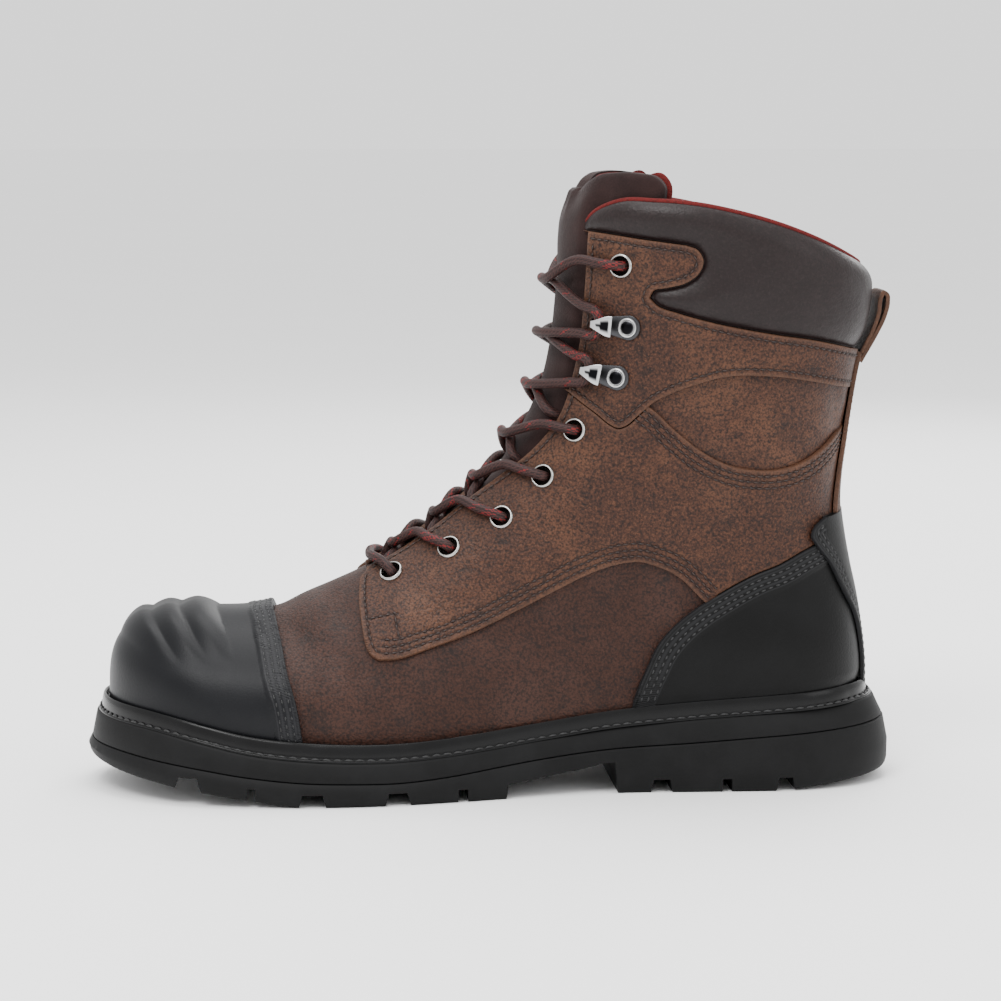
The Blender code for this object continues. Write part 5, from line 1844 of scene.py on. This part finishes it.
class BOOT_OT_tongue(bpy.types.Operator):
    """Padded tongue with its red back"""

    bl_idname = "boot.tongue"
    bl_label = "Tongue"

    def execute(self, context):
        start = front_length(-52.0)
        sides = []
        for side in SIDES:
            rear = side_line(TONGUE_REAR, side)
            sides.append(joined(even(np.array([[-side * 0.12, start], rear[0]])), rear))
        dip = np.array([[0.0, sides[0][-1][1] - 1.5]])
        outline = joined(sides[0], dip, turned(sides[1]))
        edge_space = [spot(outline)]

        def puff(space, chart):
            far = distances(space, edge_space)
            front = ease((27.0 - np.abs(space[:, 1])) / 9.0)
            quilt = 1.0 * ease((space[:, 2] - 195.0) / 18.0) * ease(far / 9.0)
            swell = tongue_swell(space[:, 2]) * ease(far / 14.0)
            return (swell + quilt) * front - 0.6 * np.exp(-((space[:, 2] - 196.0) / 1.6) ** 2)

        tongue = panel("tongue_pad", outline, TONGUE, 1.6, relief=puff, edge=2.0)
        dress(tongue, "tongue_suede", "tongue_suede", "tongue", angle=50.0)
        outline = wound(outline)
        rear = ease((spot(outline)[:, 0] - 53.0) / 7.0)
        back_outline = inset_line(outline, 0.6 - 2.6 * rear, closed=True)
        back = panel("tongue_back", back_outline, TONGUE_BACK, 2.5, edge=0.5)
        dress(back, "red_cloth", "tongue_suede", "tongue", angle=50.0)
        return {"FINISHED"}


def fitting_place(x, z, side, height):
    """A placing matrix on the leather: Z outwards and X towards the throat."""
    chart = on_side([(x, z)], side)
    out = Vector(facing(chart)[0])
    near = np.hypot(FRONT_X - x, FRONT_Z - z).argmin()
    ahead = Vector((FRONT_X[near] - x, 0.0, FRONT_Z[near] - z))
    ahead = (ahead - out * ahead.dot(out)).normalized()
    turn = Matrix((ahead, out.cross(ahead), out)).transposed().to_4x4()
    return Matrix.Translation(Vector(spot(chart, height)[0]) * MM) @ turn


def fittings(kind):
    """Places of the eyelets or of the hooks: name, matrix."""
    number = 0
    found = []
    for x, z, row in LACE_ROWS:
        if row != kind:
            continue
        number += 1
        layer = CUFF[1] if z > 150 else QUARTER[1]
        for side in SIDES:
            found.append((f"{kind}_{side_word(side)}_{number}", fitting_place(x, z, side, layer)))
    return found


def copied(pattern, name, place):
    """A copy of a piece with its own mesh, put in its place."""
    thing = bpy.data.objects.new(name, pattern.data.copy())
    PIECES.objects.link(thing)
    thing.data.transform(place)
    return thing


def spun(profile, steps, merge, closed):
    """A solid spun round Z from a profile of radius, height."""
    count = len(profile)
    edges = [(i, (i + 1) % count) for i in range(count if closed else count - 1)]
    thing = plane_with([(r * MM, 0.0, h * MM) for r, h in profile], edges, [])
    lone(thing)
    bpy.ops.object.mode_set(mode="EDIT")
    bpy.ops.mesh.select_all(action="SELECT")
    bpy.ops.mesh.spin(steps=steps, angle=2 * math.pi, center=(0, 0, 0), axis=(0, 0, 1))
    bpy.ops.mesh.select_all(action="SELECT")
    bpy.ops.mesh.remove_doubles(threshold=merge)
    if not closed:
        bpy.ops.mesh.fill_holes(sides=60)
    bpy.ops.mesh.normals_make_consistent(inside=False)
    bpy.ops.object.mode_set(mode="OBJECT")
    return thing


# Profiles of the metal, as radius and height
RING = (
    (3.5, -2.6), (3.5, -0.6), (3.55, 0.2), (3.7, 0.7), (3.95, 0.95), (4.25, 0.88), (4.55, 0.5), (4.75, 0.12),
    (4.73, -0.05), (4.4, -0.1), (3.95, -0.3), (3.8, -1.0), (3.78, -2.6),
)
RIVET = (
    (0.02, 2.1), (1.2, 2.05), (2.1, 1.75), (2.55, 1.3), (2.75, 1.25), (3.2, 1.7), (3.6, 1.55), (3.85, 0.8),
    (0.02, 0.7),
)
RIVET_X = -1.8
# The hook's tab from the side: it rises at the front and folds back over the lace
TAB = (
    (8.2, 0.2), (10.2, 0.5), (11.4, 1.7), (11.8, 3.3), (11.3, 4.9), (9.8, 5.9), (7.8, 6.3), (5.4, 6.2),
    (2.9, 5.9),
)


class BOOT_OT_eyelets(bpy.types.Operator):
    """Rolled bright eyelets: one is spun and copied to each hole"""

    bl_idname = "boot.eyelets"
    bl_label = "Eyelets"

    def execute(self, context):
        pattern = spun(RING, 40, 0.00001, closed=True)
        for name, place in fittings("eyelet"):
            ring = copied(pattern, name + "_ring", place)
            dress(ring, "eyelet_steel", "eyelet_steel", name, angle=60.0)
        bpy.data.objects.remove(pattern)
        return {"FINISHED"}


def teardrop(reach, half, round_end, count=14):
    """A plate's outline: a round end at the origin's back and a narrow front."""
    angle = np.linspace(math.pi / 2, 3 * math.pi / 2, count)
    back = [(round_end * math.cos(a) - 2.0, round_end * math.sin(a)) for a in angle]
    nose = np.linspace(-math.pi / 2, math.pi / 2, count)
    front = [(reach - half + half * math.cos(a), half * math.sin(a)) for a in nose]
    return back + front


class BOOT_OT_hooks(bpy.types.Operator):
    """Riveted speed hooks: one is built from plates and a rivet, and copied"""

    bl_idname = "boot.hooks"
    bl_label = "Speed hooks"

    def execute(self, context):
        base = prism([(a, b, 0.0) for a, b in teardrop(9.0, 3.4, 4.7)], (0, 0, 0.9))
        soften(base, 0.25, 40)
        line = smooth_line(TAB, 0.45)
        run = np.linspace(0.0, 1.0, len(line))
        halves = 3.3 - 2.0 * ease((run - 0.05) / 0.4) + 2.7 * ease((run - 0.42) / 0.55)
        columns = 7
        points = []
        for (x, z), half in zip(line, halves):
            points += [(x * MM, w * half * MM, z * MM) for w in np.linspace(-1, 1, columns)]
        faces = []
        for r in range(0, (len(line) - 1) * columns, columns):
            for j in range(r, r + columns - 1):
                faces.append((j, j + columns, j + columns + 1, j + 1))
        tab = plane_with(points, [], faces)
        apply_modifier(tab, "SOLIDIFY", thickness=0.9 * MM, offset=0.0)
        soften(tab, 0.25, 50)
        rivet = spun(RIVET, 28, 0.00005, closed=False)
        rivet.data.transform(Matrix.Translation((RIVET_X * MM, 0, 0)))
        bpy.ops.object.select_all(action="DESELECT")
        for part in (base, tab, rivet):
            part.select_set(True)
        context.view_layer.objects.active = base
        bpy.ops.object.join()
        pattern = context.object
        corners = np.array([tuple(v.co) for v in pattern.data.vertices]) / MM
        x, y, z = corners.T
        # Distance from the rivet's middle, and from the tab's sides
        out = np.hypot(x - RIVET_X, y)
        reach = np.where(z > 5.0, 0.42 * (10.8 - x) + 0.2 - np.abs(y), 9.0)
        # The rivet's dome and the tab's inside take painted shade; the rivet's ring and the tab's edges take
        # painted highlight.
        hollow = ((out < 2.3) & (z > 1.2)) | ((z > 5.0) & (reach > 0.75) & (x > 3.9) & (x < 9.0))
        rim = ((out < 3.7) & (out > 2.6) & (z > 1.2)) | ((z > 5.0) & ~hollow)
        set_marks(pattern, rim=rim, hollow=hollow)
        for name, place in fittings("hook"):
            hook = copied(pattern, name + "_fitting", place)
            dress(hook, "hook_gunmetal", "hook_gunmetal", name, angle=50.0)
        bpy.data.objects.remove(pattern)
        return {"FINISHED"}


def at_width(length, y, height):
    """A point at a girth and a distance across, over the leather."""
    turns = np.linspace(0.0, 1.6, 200)
    side = LATERAL if y <= 0 else MEDIAL
    row = np.stack((-side * turns, np.full(200, length)), axis=1)
    reach = np.abs(read_lattice(LATTICE, row)[:, 1])
    chart = np.array([[-side * np.interp(abs(y), reach, turns), length]])
    return spot(chart, height)[0]


def lace_row(number):
    """A lace row: its girth, distance across, the throat's half width, its kind and the leather's height."""
    x, z, kind = LACE_ROWS[number]
    chart = on_side([(x, z)], LATERAL)[0]
    across = abs(float(spot(chart[None])[0][1]))
    half = float(throat_half(np.interp(chart[1], FRONT_LENGTH, FRONT_Z)))
    layer = CUFF[1] if z > 150 else QUARTER[1]
    return float(chart[1]), across, half, kind, layer


def in_crook(number, side, ahead, up):
    """A point in a hook's crook: ahead towards the throat and up along it."""
    x, z, _ = LACE_ROWS[number]
    place = fitting_place(x, z, side, CUFF[1])
    return np.array(place @ Vector((ahead * MM, side * up * MM, 3.1 * MM))) / MM


def strand(side):
    """Points of one strand from the first eyelet on one side up to the top eyelet."""
    points = []
    for number in range(len(LACE_ROWS) - 1):
        low, across, half, kind, layer = lace_row(number)
        high, far, high_half, high_kind, high_layer = lace_row(number + 1)
        mid = (low + high) / 2
        base = tongue_swell(np.interp(mid, FRONT_LENGTH, FRONT_Z)) - 0.3
        lift = base if side == LATERAL else base + 3.4
        if kind == "eyelet":
            points += [
                at_width(low, side * across, layer + 1.2),
                at_width(low + 0.4, side * (across - 0.4), -2.0),
                at_width(low + 1.5, side * (across - 2.6), -5.2),
                at_width(low + 3.0, side * (half + 1.0), -4.4),
                at_width(low + 4.6, side * (half - 3.0), base - 1.0),
            ]
        else:
            points.append(at_width(low + 5.2, side * (half + 0.8), layer + 2.3))
        points.append(at_width(mid + 0.2, side * 0.25 * half, lift))
        points.append(at_width(mid + 0.6, -side * 0.25 * high_half, lift))
        side = -side
        if high_kind == "eyelet":
            points += [
                at_width(high - 0.4, side * (high_half + 0.3), high_layer + 2.3),
                at_width(high - 0.4, side * (far - 4.8), high_layer + 2.5),
                at_width(high - 0.2, side * (far - 1.6), high_layer + 2.4),
            ]
        else:
            points += [
                at_width(high - 5.6, side * (high_half + 0.8), high_layer + 2.3),
                in_crook(number + 1, side, 9.6, -3.6),
                in_crook(number + 1, side, 8.7, 0.0),
                in_crook(number + 1, side, 9.6, 3.6),
            ]
    low, across, _, _, layer = lace_row(len(LACE_ROWS) - 1)
    points += [at_width(low, side * across, layer + 1.0), at_width(low + 0.3, side * across, -3.0)]
    return points


# The lace's braid: strands round it, and their slant in radians to the millimetre
STRANDS = 10
SLANT = 1.5


class BOOT_OT_laces(bpy.types.Operator):
    """One round braided lace through the eyelets and round the hooks"""

    bl_idname = "boot.laces"
    bl_label = "Laces"

    def execute(self, context):
        low, across, half, _, layer = lace_row(0)
        widths = (across - 3.0, half, 0.0, -half, 3.0 - across)
        bar = [at_width(low + 1.0, y, layer + 2.6 if abs(y) > 6 else layer + 1.6) for y in widths]
        knots = np.array([*reversed(strand(MEDIAL)), *bar, *strand(LATERAL)])
        run = run_along(knots)
        at = np.arange(0.0, run[-1], 0.38)
        path = np.stack([curve(list(zip(run, knots[:, k])))(at) for k in range(3)], axis=1)
        for _ in range(4):
            path[1:-1] = (path[:-2] + 2 * path[1:-1] + path[2:]) / 4

        def strands(along, angle):
            """How near a point is to the middle of a strand that runs each way round."""
            first = np.abs(np.cos(STRANDS * angle / 2 + along * SLANT))
            second = np.abs(np.cos(STRANDS * angle / 2 - along * SLANT))
            return first, second

        def plait(along, angle):
            return 0.86 + 0.15 * np.maximum(*strands(along, angle))

        lace = sweep("lace", path, 28, size("lace") / 2, shape=plait)
        marks = lace.data.attributes
        along = np.empty(len(lace.data.vertices), np.float32)
        around = np.empty_like(along)
        marks["along"].data.foreach_get("value", along)
        marks["round"].data.foreach_get("value", around)
        first, second = strands(along, around)
        number = np.floor((around * STRANDS / 2 + along * SLANT) / math.pi + 0.5)
        patch = np.sin(along * 0.26) + np.sin(along * 0.11 + 1.0) + 0.6 * np.sin(along * 0.61)
        over = first > second
        red = (number % 3 == 0) * (patch > 0.2) + (number % 3 == 1) * (patch > 1.2)
        # The first mark carries the painted shade between the strands
        set_marks(lace, valley=np.maximum(first, second), over=over, fleck=over * red)
        crossings = [f"lace_cross_{n}" for n in range(1, 8)]
        dress(lace, "lace_braid", "lace_braid", "lace_bar", *crossings, angle=180.0)
        return {"FINISHED"}


PIECE_OPERATORS = (
    BOOT_OT_stage,
    BOOT_OT_sole,
    BOOT_OT_upper,
    BOOT_OT_toe_cap,
    BOOT_OT_quarters,
    BOOT_OT_cuffs,
    BOOT_OT_collar,
    BOOT_OT_counter,
    BOOT_OT_pull_loop,
    BOOT_OT_tongue,
    BOOT_OT_eyelets,
    BOOT_OT_hooks,
    BOOT_OT_laces,
)


class BOOT_PT_pieces(bpy.types.Panel):
    """The boot's pieces, sizes and colours in the sidebar"""

    bl_label = "Work boot"
    bl_idname = "BOOT_PT_pieces"
    bl_space_type = "VIEW_3D"
    bl_region_type = "UI"
    bl_category = "Boot"

    def draw(self, context):
        for group in (context.scene.boot_sizes, context.scene.boot_colours):
            for name in group.__annotations__:
                self.layout.prop(group, name)
        for operator in PIECE_OPERATORS:
            self.layout.operator(operator.bl_idname)


def register():
    for part in (BootSizes, BootColours, *PIECE_OPERATORS, BOOT_PT_pieces):
        bpy.utils.register_class(part)
    bpy.types.Scene.boot_sizes = bpy.props.PointerProperty(type=BootSizes)
    bpy.types.Scene.boot_colours = bpy.props.PointerProperty(type=BootColours)


def unregister():
    del bpy.types.Scene.boot_colours
    del bpy.types.Scene.boot_sizes
    for part in (BOOT_PT_pieces, *reversed(PIECE_OPERATORS), BootColours, BootSizes):
        bpy.utils.unregister_class(part)


def main():
    register()
    for operator in PIECE_OPERATORS:
        group, name = operator.bl_idname.split(".")
        getattr(getattr(bpy.ops, group), name)()


if __name__ == "__main__":
    main()
